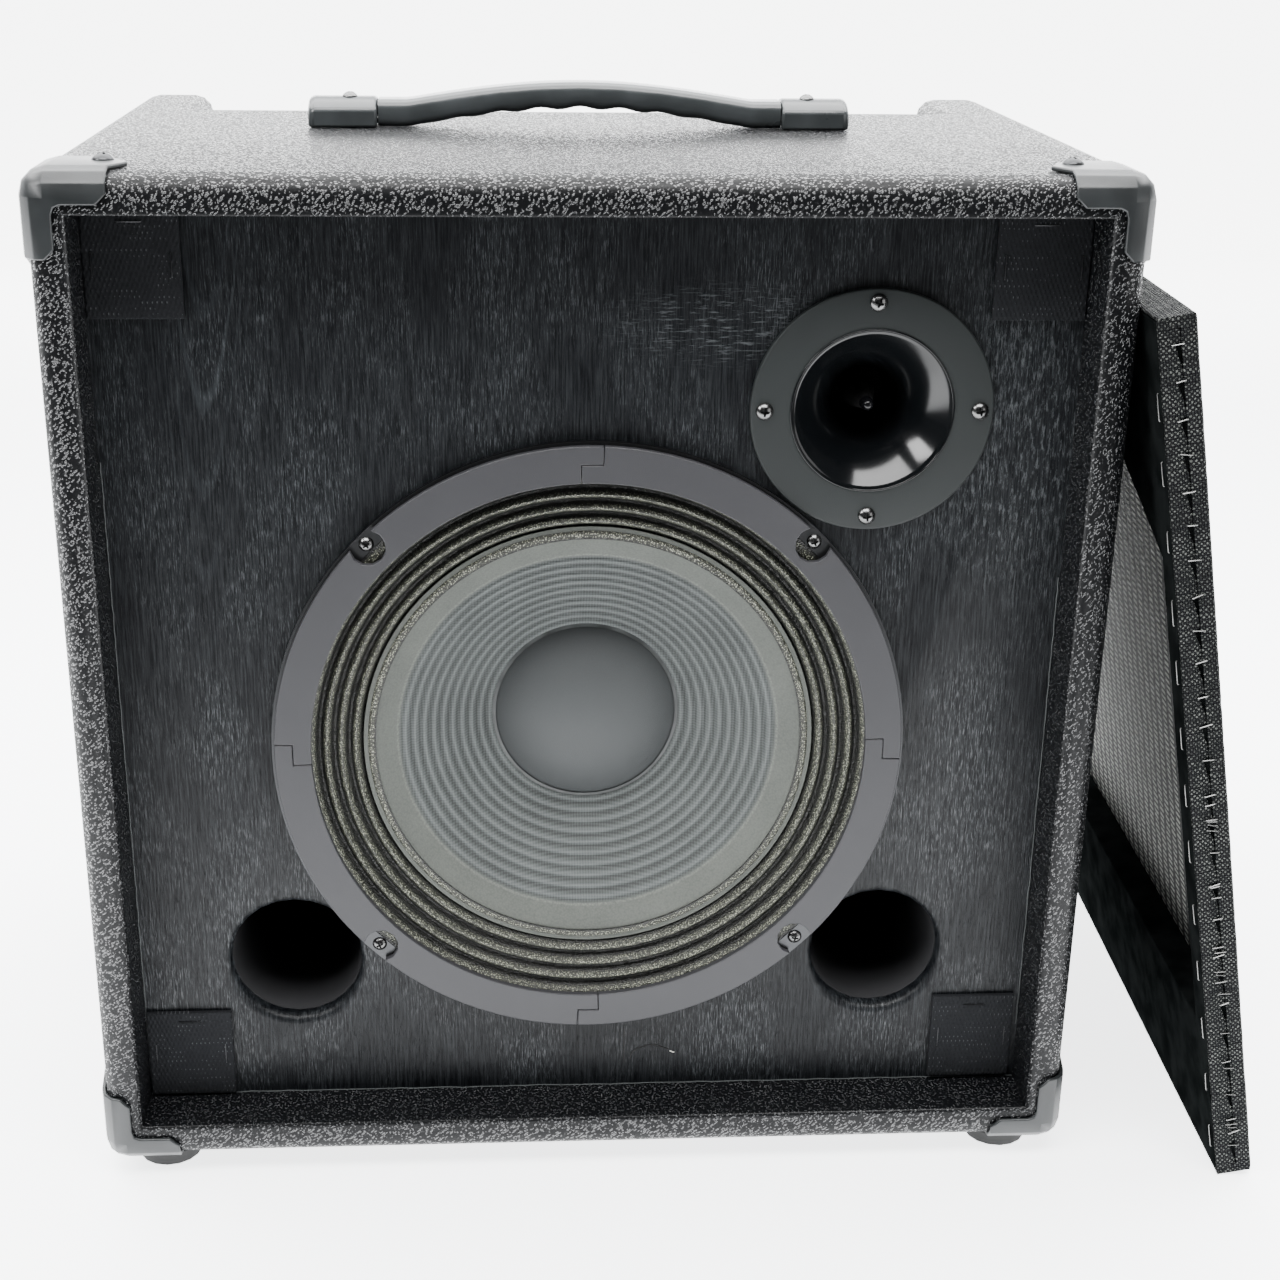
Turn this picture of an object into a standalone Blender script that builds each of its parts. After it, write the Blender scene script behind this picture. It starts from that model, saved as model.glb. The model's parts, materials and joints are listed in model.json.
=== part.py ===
"""Bass combo amplifier with its grille taken off and leant on the right side.

Sizes are in metres, +Z is up. The cabinet has its own frame: x = 0 in its middle, y = 0 at its
front edge and growing towards the back, z = 0 at its underside. An empty carries that frame, and
sets it so that the whole object stands on z = 0 with its box centred on the Z axis.
"""

import math

import bmesh
import bpy
from mathutils import Matrix, Vector

# Clearance between two pieces that touch, and between a pin and its hole
GAP = 0.0003

# Cabinet: its width and height follow from the woofer and the horn, further down
CABINET_DEPTH = 0.355
BOARD = 0.015
COVERING = 0.0012
EDGE_RADIUS = 0.010
MOUTH_EDGE_RADIUS = 0.0025
EDGE_STEPS = 3
BAFFLE_RECESS = 0.033
BAFFLE = 0.018
BACK_LIP = 0.020
BACK_PANEL = 0.012
BATTEN = 0.018

# Control bay, cut into the top at the back between two ears
NOTCH_DEPTH = 0.083
EAR_WIDTH = 0.040
BAY_HEIGHT = 0.109

# Feet
FLOOR_CLEARANCE = 0.011
FOOT_TOP_RADIUS = 0.0175
FOOT_BOTTOM_RADIUS = 0.0160
FOOT_RECESS_RADIUS = 0.0060
FOOT_RECESS = 0.004
FOOT_FROM_SIDE = 0.0275
FOOT_FROM_END = 0.0255

# Corner protectors
PROTECTOR = 0.0025
PROTECTOR_LEG = 0.039
PROTECTOR_LEG_WIDTH = 0.0155
PROTECTOR_FILLET = 0.004
PROTECTOR_CHAMFER = 0.0045
PROTECTOR_TIP = 0.0455
PROTECTOR_TIP_BACK = 0.0245
PROTECTOR_FLAP = 0.0445

# Woofer, with the baffle's bare margins beside and below its flange
FLANGE_RADIUS = 0.1565
WOOFER_BESIDE = 0.0725
WOOFER_BELOW = 0.0387
FLANGE = 0.0030
FLANGE_RIM = 0.0090
FLANGE_LEDGE = 0.0013
FLANGE_OVERHANG = 0.0155
BASKET_WALL = 0.0035
BASKET_THROAT_RADIUS = 0.0660
BASKET_DEPTH = 0.090
BASKET_HOLE_CLEARANCE = 0.0015
BASKET_WINDOWS = 6
WINDOW_SHARE = 0.62
SPIDER_LEDGE_RADIUS = 0.0740
SPIDER_LEDGE_DEPTH = 0.0700
TOP_PLATE = 0.008
GASKET_MARGIN = 0.0015
GASKET_WIDTH = 0.0180
GASKET = 0.0036
GASKET_STEP = 0.0053
SCOOP_RADIUS = 0.0087
SCOOP_INSET = 0.0050
SCOOP_STEPS = 8
GASKET_STEPS = 10
SURROUND_ROLLS = 4
SURROUND_ROLL = 0.0064
SURROUND_HEIGHT = 0.0042
SURROUND_THICKNESS = 0.0009
ROLL_VALLEY = 0.15
ROLL_CREST = (0.40, 0.70)
ROLL_UNDERSIDE = 0.55
CONE_OVERLAP = 0.0006
CONE_FACE_DEPTH = 0.0070
CONE_LIP = 0.0060
CONE_NECK_RADIUS = 0.0360
CONE_NECK_DEPTH = 0.0570
CONE_THICKNESS = 0.0012
CONE_RIBS = 10
CONE_RIB_HEIGHT = 0.0007
DUST_CAP_RADIUS = 0.0470
DUST_CAP_RISE = 0.0180
DUST_CAP_THICKNESS = 0.0010
COIL_RADIUS = 0.0330
COIL_THICKNESS = 0.0014
COIL_LENGTH = 0.0440
COIL_RISE = 0.0060
COIL_GAP = 0.0014
SPIDER_ROLLS = 2
SPIDER_HEIGHT = 0.0024
SPIDER_THICKNESS = 0.0008
MAGNET_RADIUS = 0.0780
MAGNET_BORE_RADIUS = 0.0440
MAGNET = 0.018
YOKE_RADIUS = 0.0740
YOKE_PLATE = 0.008

# Horn: its way from the woofer's middle, its gap to the woofer's flange, the bare margin above it
HORN_DIRECTION = math.radians(52.36)
HORN_GAP = 0.0010
HORN_ABOVE = 0.0355
HORN_FLANGE_RADIUS = 0.0578
HORN_FLANGE = 0.0030
HORN_MOUTH_RADIUS = 0.0375
HORN_THROAT_RADIUS = 0.0125
HORN_DEPTH = 0.0420
HORN_WALL = 0.0025
HORN_EDGE = 0.0008
HORN_FLARE = 2.2
HORN_RINGS = 6
HORN_HOLE_CLEARANCE = 0.0030
HORN_REAR_FLANGE_RADIUS = 0.0260
BULLET_RADIUS = 0.0080
BULLET_TIP_RADIUS = 0.0028
BULLET_TIP_DEPTH = 0.0080
DRIVER_RADIUS = 0.0320
DRIVER_DEPTH = 0.0380

# Ports: their way down from the woofer's middle, their gap to the woofer's flange
PORT_DIRECTION = math.radians(38.07)
PORT_GAP = 0.0006
PORT_RADIUS = 0.0335
PORT_LIP = 0.0045
PORT_WALL = 0.0030
PORT_REBATE = 0.0100
PORT_LENGTH = 0.1000

# Hook and loop pads: side and end of the mouth, and how far in from that corner
PAD_WIDTH = 0.0435
PAD_HEIGHT = 0.0485
PAD = 0.0030
PAD_PLACES = {
    "loop_pad_top_left": (-1, 1, 0.0003, 0.0015),
    "loop_pad_top_right": (1, 1, 0.0005, 0.0020),
    "loop_pad_bottom_left": (-1, -1, 0.0010, 0.0012),
    "loop_pad_bottom_right": (1, -1, 0.0035, 0.0025),
}

# Strap handle
HANDLE_BACK = 0.190
CAP_INNER = 0.1035
CAP_LENGTH = 0.035
CAP_DEPTH = 0.028
CAP_SHOULDER = 0.0095
CAP_HEIGHT = 0.0150
CAP_EDGE = 0.0020
CAP_CROWN_STEPS = 6
POCKET_HEIGHT = 0.0100
POCKET_DEPTH = 0.0190
POCKET_LENGTH = 0.0240
STRAP_END = 0.1012
STRAP_DEPTH = 0.0250
STRAP_END_HEIGHT = 0.0140
STRAP_CROWN = 0.0230
STRAP_MIDDLE_THICKNESS = 0.0130
STRAP_ARCH_LENGTH = 0.0880
STRAP_STATIONS = 18
STRAP_SIDES = 10
STRAP_FLATNESS = (0.5, 0.7)
FINGER_WAVE = 0.0008
FINGER_PITCH = 0.0210
TONGUE = 0.0030
TONGUE_LENGTH = 0.0180
TONGUE_DEPTH = 0.0170
TONGUE_LIFT = 0.0020

# Electronics
SHEET = 0.0015
CHASSIS_LENGTH = 0.130
PANEL_DROP = 0.0245
PANEL_SLOPE = math.radians(16.0)
PANEL_SHEET = 0.0020
CONTROL_ROW = 0.0340
KNOB_PLACES = (-0.1200, -0.0780, -0.0360, 0.0060, 0.0480)
KNOB_RADIUS = 0.0085
KNOB_SKIRT_RADIUS = 0.0108
KNOB_SKIRT = 0.0030
KNOB_HEIGHT = 0.0150
KNOB_EDGE = 0.0010
KNOB_CLEARANCE = 0.0008
SHAFT_RADIUS = 0.0030
SHAFT_LENGTH = 0.0080
POT_SIZE = 0.0165
BOARD_DROP = 0.0120
CIRCUIT_BOARD = 0.0016
BOARD_MARGIN = 0.0220
BUTTON_PLACES = (0.0860, 0.1080)
BUTTON_SIZE = 0.0074
BUTTON_HEIGHT = 0.0052
BUTTON_EDGE = 0.0006
BUTTON_REACH = 0.0060
BUTTON_TRAVEL = 0.0025
BUTTON_SWITCH = 0.0120
ROCKER_PLACE = 0.1560
ROCKER_WIDTH = 0.0126
ROCKER_LENGTH = 0.0230
ROCKER_RISE = 0.0042
ROCKER_DROP = 0.0090
ROCKER_TILT = math.radians(11.0)
ROCKER_HEEL = (0.86, 0.45)
ROCKER_SOLE = 0.40
BEZEL = 0.0016
BEZEL_RIM = 0.0020
HOUSING_WALL = 0.0010
HOUSING_ROOM = 0.0040
JACK_PLACE = -0.1760
JACK_BORE_RADIUS = 0.0033
JACK_NECK_RADIUS = 0.0046
JACK_NUT_RADIUS = 0.0068
JACK_NUT = 0.0034
JACK_BODY_RADIUS = 0.0080
JACK_LENGTH = 0.0240
SOCKET_DROP = 0.0750
DI_PLACE = -0.1500
DI_FLANGE_WIDTH = 0.0260
DI_FLANGE_HEIGHT = 0.0310
DI_BARREL_RADIUS = 0.0115
DI_BORE_RADIUS = 0.0088
DI_DEPTH = 0.0200
DI_FLOOR = 0.0030
DI_PIN_RADIUS = 0.0012
DI_PIN_CIRCLE = 0.0044
DI_PIN_TURNS = (90, 210, 330)
INLET_PLACE = 0.1450
INLET_FLANGE_WIDTH = 0.0500
INLET_FLANGE_HEIGHT = 0.0250
INLET_BODY_WIDTH = 0.0280
INLET_BODY_HEIGHT = 0.0210
INLET_WALL = 0.0020
INLET_DEPTH = 0.0220
INLET_FLOOR = 0.0040
INLET_BLADE_PITCH = 0.0070
INLET_BLADE_WIDTH = 0.0040
INLET_BLADE = 0.0018
SOCKET_FLANGE = 0.0020
TRANSFORMER_SIDE = 0.1300
TRANSFORMER_WIDTH = 0.0660
TRANSFORMER_HEIGHT = 0.0550
TRANSFORMER_CORE = 0.0260
TRANSFORMER_COIL_WIDTH = 0.0420
TRANSFORMER_COIL_DEPTH = 0.0460
TRANSFORMER_COIL_HEIGHT = 0.0350
HEATSINK_SIDE = -0.1050
HEATSINK_FINS = 9
HEATSINK_PITCH = 0.0130
HEATSINK_FIN = 0.0025
HEATSINK_HEIGHT = 0.0320
HEATSINK_BASE = 0.0050
HEATSINK_DEPTH = 0.0440
INSIDE_FROM_FRONT = 0.0080

# Grille, leaning on the right side of the cabinet
GRILLE_SIZE = 0.455
GRILLE_THICKNESS = 0.0185
GRILLE_CLOTH = 0.0016
GRILLE_STILE = 0.020
GRILLE_BOTTOM_RAIL = 0.084
GRILLE_TOP_RAIL = 0.070
GRILLE_CUT_WIDTH = 0.103
GRILLE_CUT_HEIGHT = 0.049
GRILLE_FOOT_OUT = 0.080
GRILLE_FORWARD = 0.021
GRILLE_YAW = math.radians(2.3)

# Facets round a full turn
WOOFER_STEPS = 36
HORN_STEPS = 28
PORT_STEPS = 24
MOTOR_STEPS = 20
FOOT_STEPS = 16
KNOB_STEPS = 12
SMALL_STEPS = 10
PIN_STEPS = 6

# Points closer than this are one, and edges sharper than this stay sharp
MERGE = 0.00001
ON_PLANE = 0.00002
SHARP_EDGE = math.radians(35)
FLAT_ANGLE = 0.01

# Values that follow from those above
INSET = COVERING + GAP
WALL = BOARD + 2 * INSET
WOOFER_HEIGHT = WALL + WOOFER_BELOW + FLANGE_RADIUS
HORN_AWAY = FLANGE_RADIUS + HORN_FLANGE_RADIUS + HORN_GAP
HORN_SIDE = HORN_AWAY * math.cos(HORN_DIRECTION)
HORN_HEIGHT = WOOFER_HEIGHT + HORN_AWAY * math.sin(HORN_DIRECTION)
PORT_AWAY = FLANGE_RADIUS + PORT_RADIUS + PORT_GAP
PORT_SIDE = PORT_AWAY * math.cos(PORT_DIRECTION)
PORT_HEIGHT = WOOFER_HEIGHT - PORT_AWAY * math.sin(PORT_DIRECTION)
FLANGE_LEDGE_RADIUS = FLANGE_RADIUS - FLANGE_RIM
BASKET_MOUTH_RADIUS = FLANGE_RADIUS - FLANGE_OVERHANG
GASKET_OUTER_RADIUS = FLANGE_RADIUS - GASKET_MARGIN
GASKET_INNER_RADIUS = GASKET_OUTER_RADIUS - GASKET_WIDTH
SCOOP_CENTRE_RADIUS = GASKET_OUTER_RADIUS - SCOOP_INSET
SURROUND_RADIUS = GASKET_INNER_RADIUS
CONE_RADIUS = SURROUND_RADIUS - SURROUND_ROLLS * SURROUND_ROLL + CONE_OVERLAP
CABINET_HEIGHT = HORN_HEIGHT + HORN_FLANGE_RADIUS + HORN_ABOVE + WALL
HALF_WIDTH = FLANGE_RADIUS + WOOFER_BESIDE + WALL
SOCKET_HEIGHT = CABINET_HEIGHT - SOCKET_DROP
INNER_HALF = HALF_WIDTH - INSET - BOARD
INNER_BOTTOM = INSET + BOARD
INNER_TOP = CABINET_HEIGHT - INSET - BOARD
NOTCH_HALF = HALF_WIDTH - EAR_WIDTH
NOTCH_FRONT = CABINET_DEPTH - NOTCH_DEPTH
BAY_BOTTOM = CABINET_HEIGHT - BAY_HEIGHT
BACK_FACE = CABINET_DEPTH - BACK_LIP
PANEL_FRONT = NOTCH_FRONT + INSET
PANEL_LENGTH = (BACK_FACE - PANEL_FRONT) / math.cos(PANEL_SLOPE)
CHASSIS_BOTTOM = BAY_BOTTOM + INSET
CHASSIS_FRONT = BACK_FACE - CHASSIS_LENGTH
CHASSIS_HALF = NOTCH_HALF - GAP
FAR = 1.0

# Looks: colour, roughness, metallic
VINYL = ((0.035, 0.038, 0.042), 0.45, 0.0)
PLYWOOD = ((0.42, 0.29, 0.17), 0.65, 0.0)
BLACK_PAINT = ((0.020, 0.022, 0.026), 0.60, 0.0)
GREY_PLASTIC = ((0.13, 0.15, 0.15), 0.38, 0.0)
RUBBER = ((0.020, 0.020, 0.020), 0.75, 0.0)
SHEET_STEEL = ((0.45, 0.46, 0.47), 0.35, 1.0)
BLACK_STEEL = ((0.030, 0.031, 0.033), 0.40, 0.6)
GASKET_PAPER = ((0.12, 0.12, 0.125), 0.80, 0.0)
DOPED_CLOTH = ((0.020, 0.024, 0.022), 0.30, 0.0)
CONE_PAPER = ((0.150, 0.165, 0.155), 0.85, 0.0)
DUST_CAP_PAPER = ((0.150, 0.165, 0.165), 0.80, 0.0)
COPPER = ((0.60, 0.28, 0.15), 0.30, 1.0)
FERRITE = ((0.050, 0.050, 0.055), 0.55, 0.0)
ZINC = ((0.55, 0.54, 0.50), 0.35, 1.0)
LOOP_FELT = ((0.030, 0.032, 0.036), 0.95, 0.0)
CARDBOARD = ((0.10, 0.08, 0.06), 0.85, 0.0)
GRILLE_WOOD = ((0.060, 0.060, 0.055), 0.70, 0.0)
SPEAKER_CLOTH = ((0.020, 0.021, 0.023), 0.90, 0.0)
PANEL_FINISH = ((0.040, 0.041, 0.043), 0.45, 0.2)
FIBRE_BOARD = ((0.060, 0.22, 0.10), 0.50, 0.0)
KNOB_PLASTIC = ((0.025, 0.025, 0.027), 0.40, 0.0)
BUTTON_PLASTIC = ((0.55, 0.55, 0.53), 0.40, 0.0)
BRIGHT_METAL = ((0.72, 0.73, 0.74), 0.25, 1.0)
BLACK_PLASTIC = ((0.020, 0.020, 0.022), 0.45, 0.0)

AXIS_TURNS = {
    "XY": Matrix.Identity(4),
    "XZ": Matrix.Rotation(math.pi / 2, 4, "X"),
    "YZ": Matrix(((0, 0, 1, 0), (1, 0, 0, 0), (0, 1, 0, 0), (0, 0, 0, 1))),
}
NORMALS = {"XY": Vector((0, 0, 1)), "XZ": Vector((0, 1, 0)), "YZ": Vector((1, 0, 0))}

for old in list(bpy.data.objects):
    bpy.data.objects.remove(old, do_unlink=True)
parts = bpy.data.collections.new("bass_combo_amplifier")
cutters = bpy.data.collections.new("cutters")
bpy.context.scene.collection.children.link(parts)
bpy.context.scene.collection.children.link(cutters)


def frame(name, parent=None, location=(0, 0, 0), turn=(0, 0, 0)):
    """An empty that carries a frame of its own."""
    made = bpy.data.objects.new(name, None)
    made.empty_display_size = 0.02
    parts.objects.link(made)
    made.parent = parent
    made.location = location
    made.rotation_euler = turn
    return made


def painted(name, look):
    """A material of the piece's own colour, roughness and metallic value."""
    colour, roughness, metallic = look
    made = bpy.data.materials.new(name)
    made.use_nodes = True
    shader = made.node_tree.nodes["Principled BSDF"]
    shader.inputs["Base Color"].default_value = (*colour, 1.0)
    shader.inputs["Roughness"].default_value = roughness
    shader.inputs["Metallic"].default_value = metallic
    return made


def part(name, mesh, look, parent, location=(0, 0, 0)):
    """A named piece of the amplifier, with a material of its own."""
    made = bpy.data.objects.new(name, mesh)
    parts.objects.link(made)
    made.parent = parent
    made.location = location
    mesh.materials.clear()
    mesh.materials.append(painted(name, look))
    return made


def cutter(name, mesh, parent, location=(0, 0, 0)):
    """A solid that shapes a piece and is no piece itself."""
    made = bpy.data.objects.new(name, mesh)
    cutters.objects.link(made)
    made.parent = parent
    made.location = location
    made.hide_render = True
    made.display_type = "WIRE"
    return made


def combine(piece, other, operation):
    """Boolean of a piece with a cutter: DIFFERENCE, INTERSECT or UNION."""
    step = piece.modifiers.new(other.name, "BOOLEAN")
    step.operation = operation
    step.object = other
    step.solver = "EXACT"


def baked(piece):
    """Mesh of an object with its modifiers applied. The object and its cutters go."""
    bpy.context.view_layer.update()
    scene_state = bpy.context.evaluated_depsgraph_get()
    mesh = bpy.data.meshes.new_from_object(piece.evaluated_get(scene_state))
    helpers = [step.object for step in piece.modifiers if step.type == "BOOLEAN"]
    for used in [piece] + helpers:
        bpy.data.objects.remove(used, do_unlink=True)
    return mesh


def block(low, high):
    """Box between two corners."""
    low = Vector(low)
    high = Vector(high)
    shape = bmesh.new()
    bmesh.ops.create_cube(shape, size=1.0)
    bmesh.ops.scale(shape, vec=high - low, verts=shape.verts)
    bmesh.ops.translate(shape, vec=(low + high) / 2, verts=shape.verts)
    mesh = bpy.data.meshes.new("block")
    shape.to_mesh(mesh)
    shape.free()
    return mesh


def rounded_block(low, high, radius, steps, chosen=None):
    """Box with rounded edges: all of them, or those that a test on both ends chooses."""
    mesh = block(low, high)
    shape = bmesh.new()
    shape.from_mesh(mesh)
    edges = [edge for edge in shape.edges
             if chosen is None or all(chosen(corner.co) for corner in edge.verts)]
    bmesh.ops.bevel(shape, geom=edges, offset=radius, segments=steps, profile=0.5, affect="EDGES")
    shape.to_mesh(mesh)
    shape.free()
    return mesh


def prism(outlines, low, high, plane="XY"):
    """Flat outline with any holes in it, drawn out from low to high across its plane."""
    curve = bpy.data.curves.new("outline", "CURVE")
    curve.dimensions = "2D"
    curve.fill_mode = "BOTH"
    curve.extrude = (high - low) / 2
    for outline in outlines:
        spline = curve.splines.new("POLY")
        spline.points.add(len(outline) - 1)
        for point, (across, up) in zip(spline.points, outline):
            point.co = (across, up, 0.0, 1.0)
        spline.use_cyclic_u = True
    drawn = cutter("outline", curve, None)
    bpy.context.view_layer.update()
    scene_state = bpy.context.evaluated_depsgraph_get()
    mesh = bpy.data.meshes.new_from_object(drawn.evaluated_get(scene_state))
    bpy.data.objects.remove(drawn, do_unlink=True)
    shape = bmesh.new()
    shape.from_mesh(mesh)
    bmesh.ops.remove_doubles(shape, verts=shape.verts, dist=MERGE)
    bmesh.ops.transform(shape, matrix=AXIS_TURNS[plane], verts=shape.verts)
    bmesh.ops.translate(shape, vec=NORMALS[plane] * (low + high) / 2, verts=shape.verts)
    bmesh.ops.recalc_face_normals(shape, faces=shape.faces)
    shape.to_mesh(mesh)
    shape.free()
    return mesh


def turned(profile, steps, closed=False):
    """Shape turned about Z from (radius, height) points that run down its outer side."""
    mesh = bpy.data.meshes.new("profile")
    edges = [(place, place + 1) for place in range(len(profile) - 1)]
    if closed:
        edges.append((len(profile) - 1, 0))
    mesh.from_pydata([(radius, 0.0, height) for radius, height in profile], edges, [])
    lathe = cutter("profile", mesh, None)
    screw = lathe.modifiers.new("turn", "SCREW")
    screw.steps = steps
    screw.render_steps = steps
    screw.use_merge_vertices = True
    screw.merge_threshold = MERGE
    solid = baked(lathe)
    solid.set_sharp_from_angle(angle=SHARP_EDGE)
    return solid


def arc(centre, radius, start, end, steps):
    """Points along an arc, from one angle to another, both included."""
    points = []
    for step in range(steps + 1):
        angle = start + (end - start) * step / steps
        points.append((centre[0] + radius * math.cos(angle), centre[1] + radius * math.sin(angle)))
    return points


def circle(centre, radius, steps):
    """Closed outline of a circle."""
    return arc(centre, radius, 0.0, 2 * math.pi, steps)[:-1]


def rectangle(low, high):
    """Closed outline of a rectangle between two corners."""
    return [(low[0], low[1]), (high[0], low[1]), (high[0], high[1]), (low[0], high[1])]


def grille_axes():
    """Directions of the leaning grille: along its foot, up its face, and out through it."""
    reach = GRILLE_FOOT_OUT - GAP + (EDGE_RADIUS + GRILLE_FORWARD) * math.tan(GRILLE_YAW)
    lean = math.asin(math.cos(GRILLE_YAW) * reach / GRILLE_SIZE)
    along = Vector((math.sin(GRILLE_YAW), math.cos(GRILLE_YAW), 0))
    out = Vector((math.cos(GRILLE_YAW), -math.sin(GRILLE_YAW), 0))
    up = Vector((0, 0, 1))
    face = math.cos(lean) * up - math.sin(lean) * out
    through = math.cos(lean) * out + math.sin(lean) * up
    return along, face, through


def grille_placement():
    """Matrix of the grille's frame: its near, lower, inner corner and its three directions."""
    along, face, through = grille_axes()
    corner = Vector((HALF_WIDTH + GRILLE_FOOT_OUT, -GRILLE_FORWARD, -FLOOR_CLEARANCE))
    placement = Matrix((along, face, through)).transposed().to_4x4()
    placement.translation = corner
    return placement


def cabinet_offset():
    """Shift that centres the box of the whole object on the Z axis and stands it on z = 0."""
    placement = grille_placement()
    spans = ((0, GRILLE_SIZE), (0, GRILLE_SIZE), (0, GRILLE_THICKNESS))
    corners = [placement @ Vector((a, b, c)) for a in spans[0] for b in spans[1] for c in spans[2]]
    left = -HALF_WIDTH - PROTECTOR
    right = max(corner.x for corner in corners)
    front = min(corner.y for corner in corners)
    back = max(corner.y for corner in corners)
    return (-(left + right) / 2, -(front + back) / 2, FLOOR_CLEARANCE)


cabinet = frame("cabinet_frame", location=cabinet_offset())
FACING_FRONT = (math.pi / 2, 0, 0)
woofer_frame = frame("woofer_frame", cabinet, (0, BAFFLE_RECESS, WOOFER_HEIGHT), FACING_FRONT)
horn_frame = frame("horn_frame", cabinet, (HORN_SIDE, BAFFLE_RECESS, HORN_HEIGHT), FACING_FRONT)
port_frames = {
    name: frame(name + "_frame", cabinet, (side * PORT_SIDE, BAFFLE_RECESS, PORT_HEIGHT), FACING_FRONT)
    for side, name in ((-1, "port_tube_left"), (1, "port_tube_right"))
}
handle_frame = frame("handle_frame", cabinet, (0, HANDLE_BACK, CABINET_HEIGHT))
panel_frame = frame("panel_frame", cabinet, (0, PANEL_FRONT, CABINET_HEIGHT - PANEL_DROP),
                    (-PANEL_SLOPE, 0, 0))


def carcass(inset):
    """Solid of the cabinet's walls and ears, drawn in by one inset on every side."""
    half = HALF_WIDTH - inset
    top = CABINET_HEIGHT - inset
    back = CABINET_DEPTH - inset
    mouth_half = HALF_WIDTH - WALL + inset
    floor = WALL - inset
    ceiling = CABINET_HEIGHT - WALL + inset
    ear_half = NOTCH_HALF + inset
    notch_front = NOTCH_FRONT - inset
    body = cutter("carcass", block((-half, inset, inset), (half, back, top)), cabinet)
    spaces = {
        "room_below_the_bay": ((-mouth_half, -FAR, floor), (mouth_half, FAR, BAY_BOTTOM + inset)),
        "room_before_the_bay": ((-mouth_half, -FAR, floor), (mouth_half, NOTCH_FRONT + inset, ceiling)),
        "bay": ((-ear_half, notch_front, BAY_BOTTOM - WALL), (ear_half, FAR, FAR)),
    }
    for name, (low, high) in spaces.items():
        combine(body, cutter(name, block(low, high), cabinet), "DIFFERENCE")
    mesh = baked(body)
    shape = bmesh.new()
    shape.from_mesh(mesh)
    bmesh.ops.remove_doubles(shape, verts=shape.verts, dist=MERGE)
    bmesh.ops.dissolve_limit(shape, angle_limit=FLAT_ANGLE, verts=shape.verts, edges=shape.edges)

    def lies_on(edge, axis, value):
        return all(abs(corner.co[axis] - value) < ON_PLANE for corner in edge.verts)

    outer_planes = ((0, -half), (0, half), (1, inset), (1, back), (2, inset), (2, top))
    ear_planes = ((0, -ear_half), (0, ear_half), (1, notch_front))
    mouth_planes = ((0, -mouth_half), (0, mouth_half), (2, floor), (2, ceiling))
    outer = []
    mouth = []
    for edge in shape.edges:
        on_outer = [plane for plane in outer_planes if lies_on(edge, *plane)]
        on_ear = [plane for plane in ear_planes if lies_on(edge, *plane)]
        on_mouth = [plane for plane in mouth_planes if lies_on(edge, *plane)]
        if len(on_outer) == 2 or (on_ear and ((2, top) in on_outer or (1, back) in on_outer)):
            outer.append(edge)
        elif on_mouth and (1, inset) in on_outer:
            mouth.append(edge)
    rounding = {"segments": EDGE_STEPS, "profile": 0.5, "affect": "EDGES"}
    bmesh.ops.bevel(shape, geom=mouth, offset=MOUTH_EDGE_RADIUS - inset, **rounding)
    outer = [edge for edge in outer if edge.is_valid]
    bmesh.ops.bevel(shape, geom=outer, offset=EDGE_RADIUS - inset, **rounding)
    shape.to_mesh(mesh)
    shape.free()
    return mesh


def make_covering():
    """Textured vinyl wrapped round the boards and folded in at the front and the back."""
    covering = part("vinyl_covering", carcass(0.0), VINYL, cabinet)
    combine(covering, cutter("boards_inside", carcass(COVERING), cabinet), "DIFFERENCE")
    front = BAFFLE_RECESS - GAP
    rooms = {
        "bare_inside": ((-INNER_HALF, front, INNER_BOTTOM),
                        (INNER_HALF, BACK_FACE + GAP, BAY_BOTTOM + INSET)),
        "bare_inside_top": ((-INNER_HALF, front, INNER_BOTTOM),
                            (INNER_HALF, NOTCH_FRONT + INSET, INNER_TOP)),
    }
    for name, (low, high) in rooms.items():
        combine(covering, cutter(name, block(low, high), cabinet), "DIFFERENCE")


def batten(name, board, low, high):
    """Strip of wood glued to a board."""
    combine(board, cutter(name, block(low, high), cabinet), "UNION")


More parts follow.
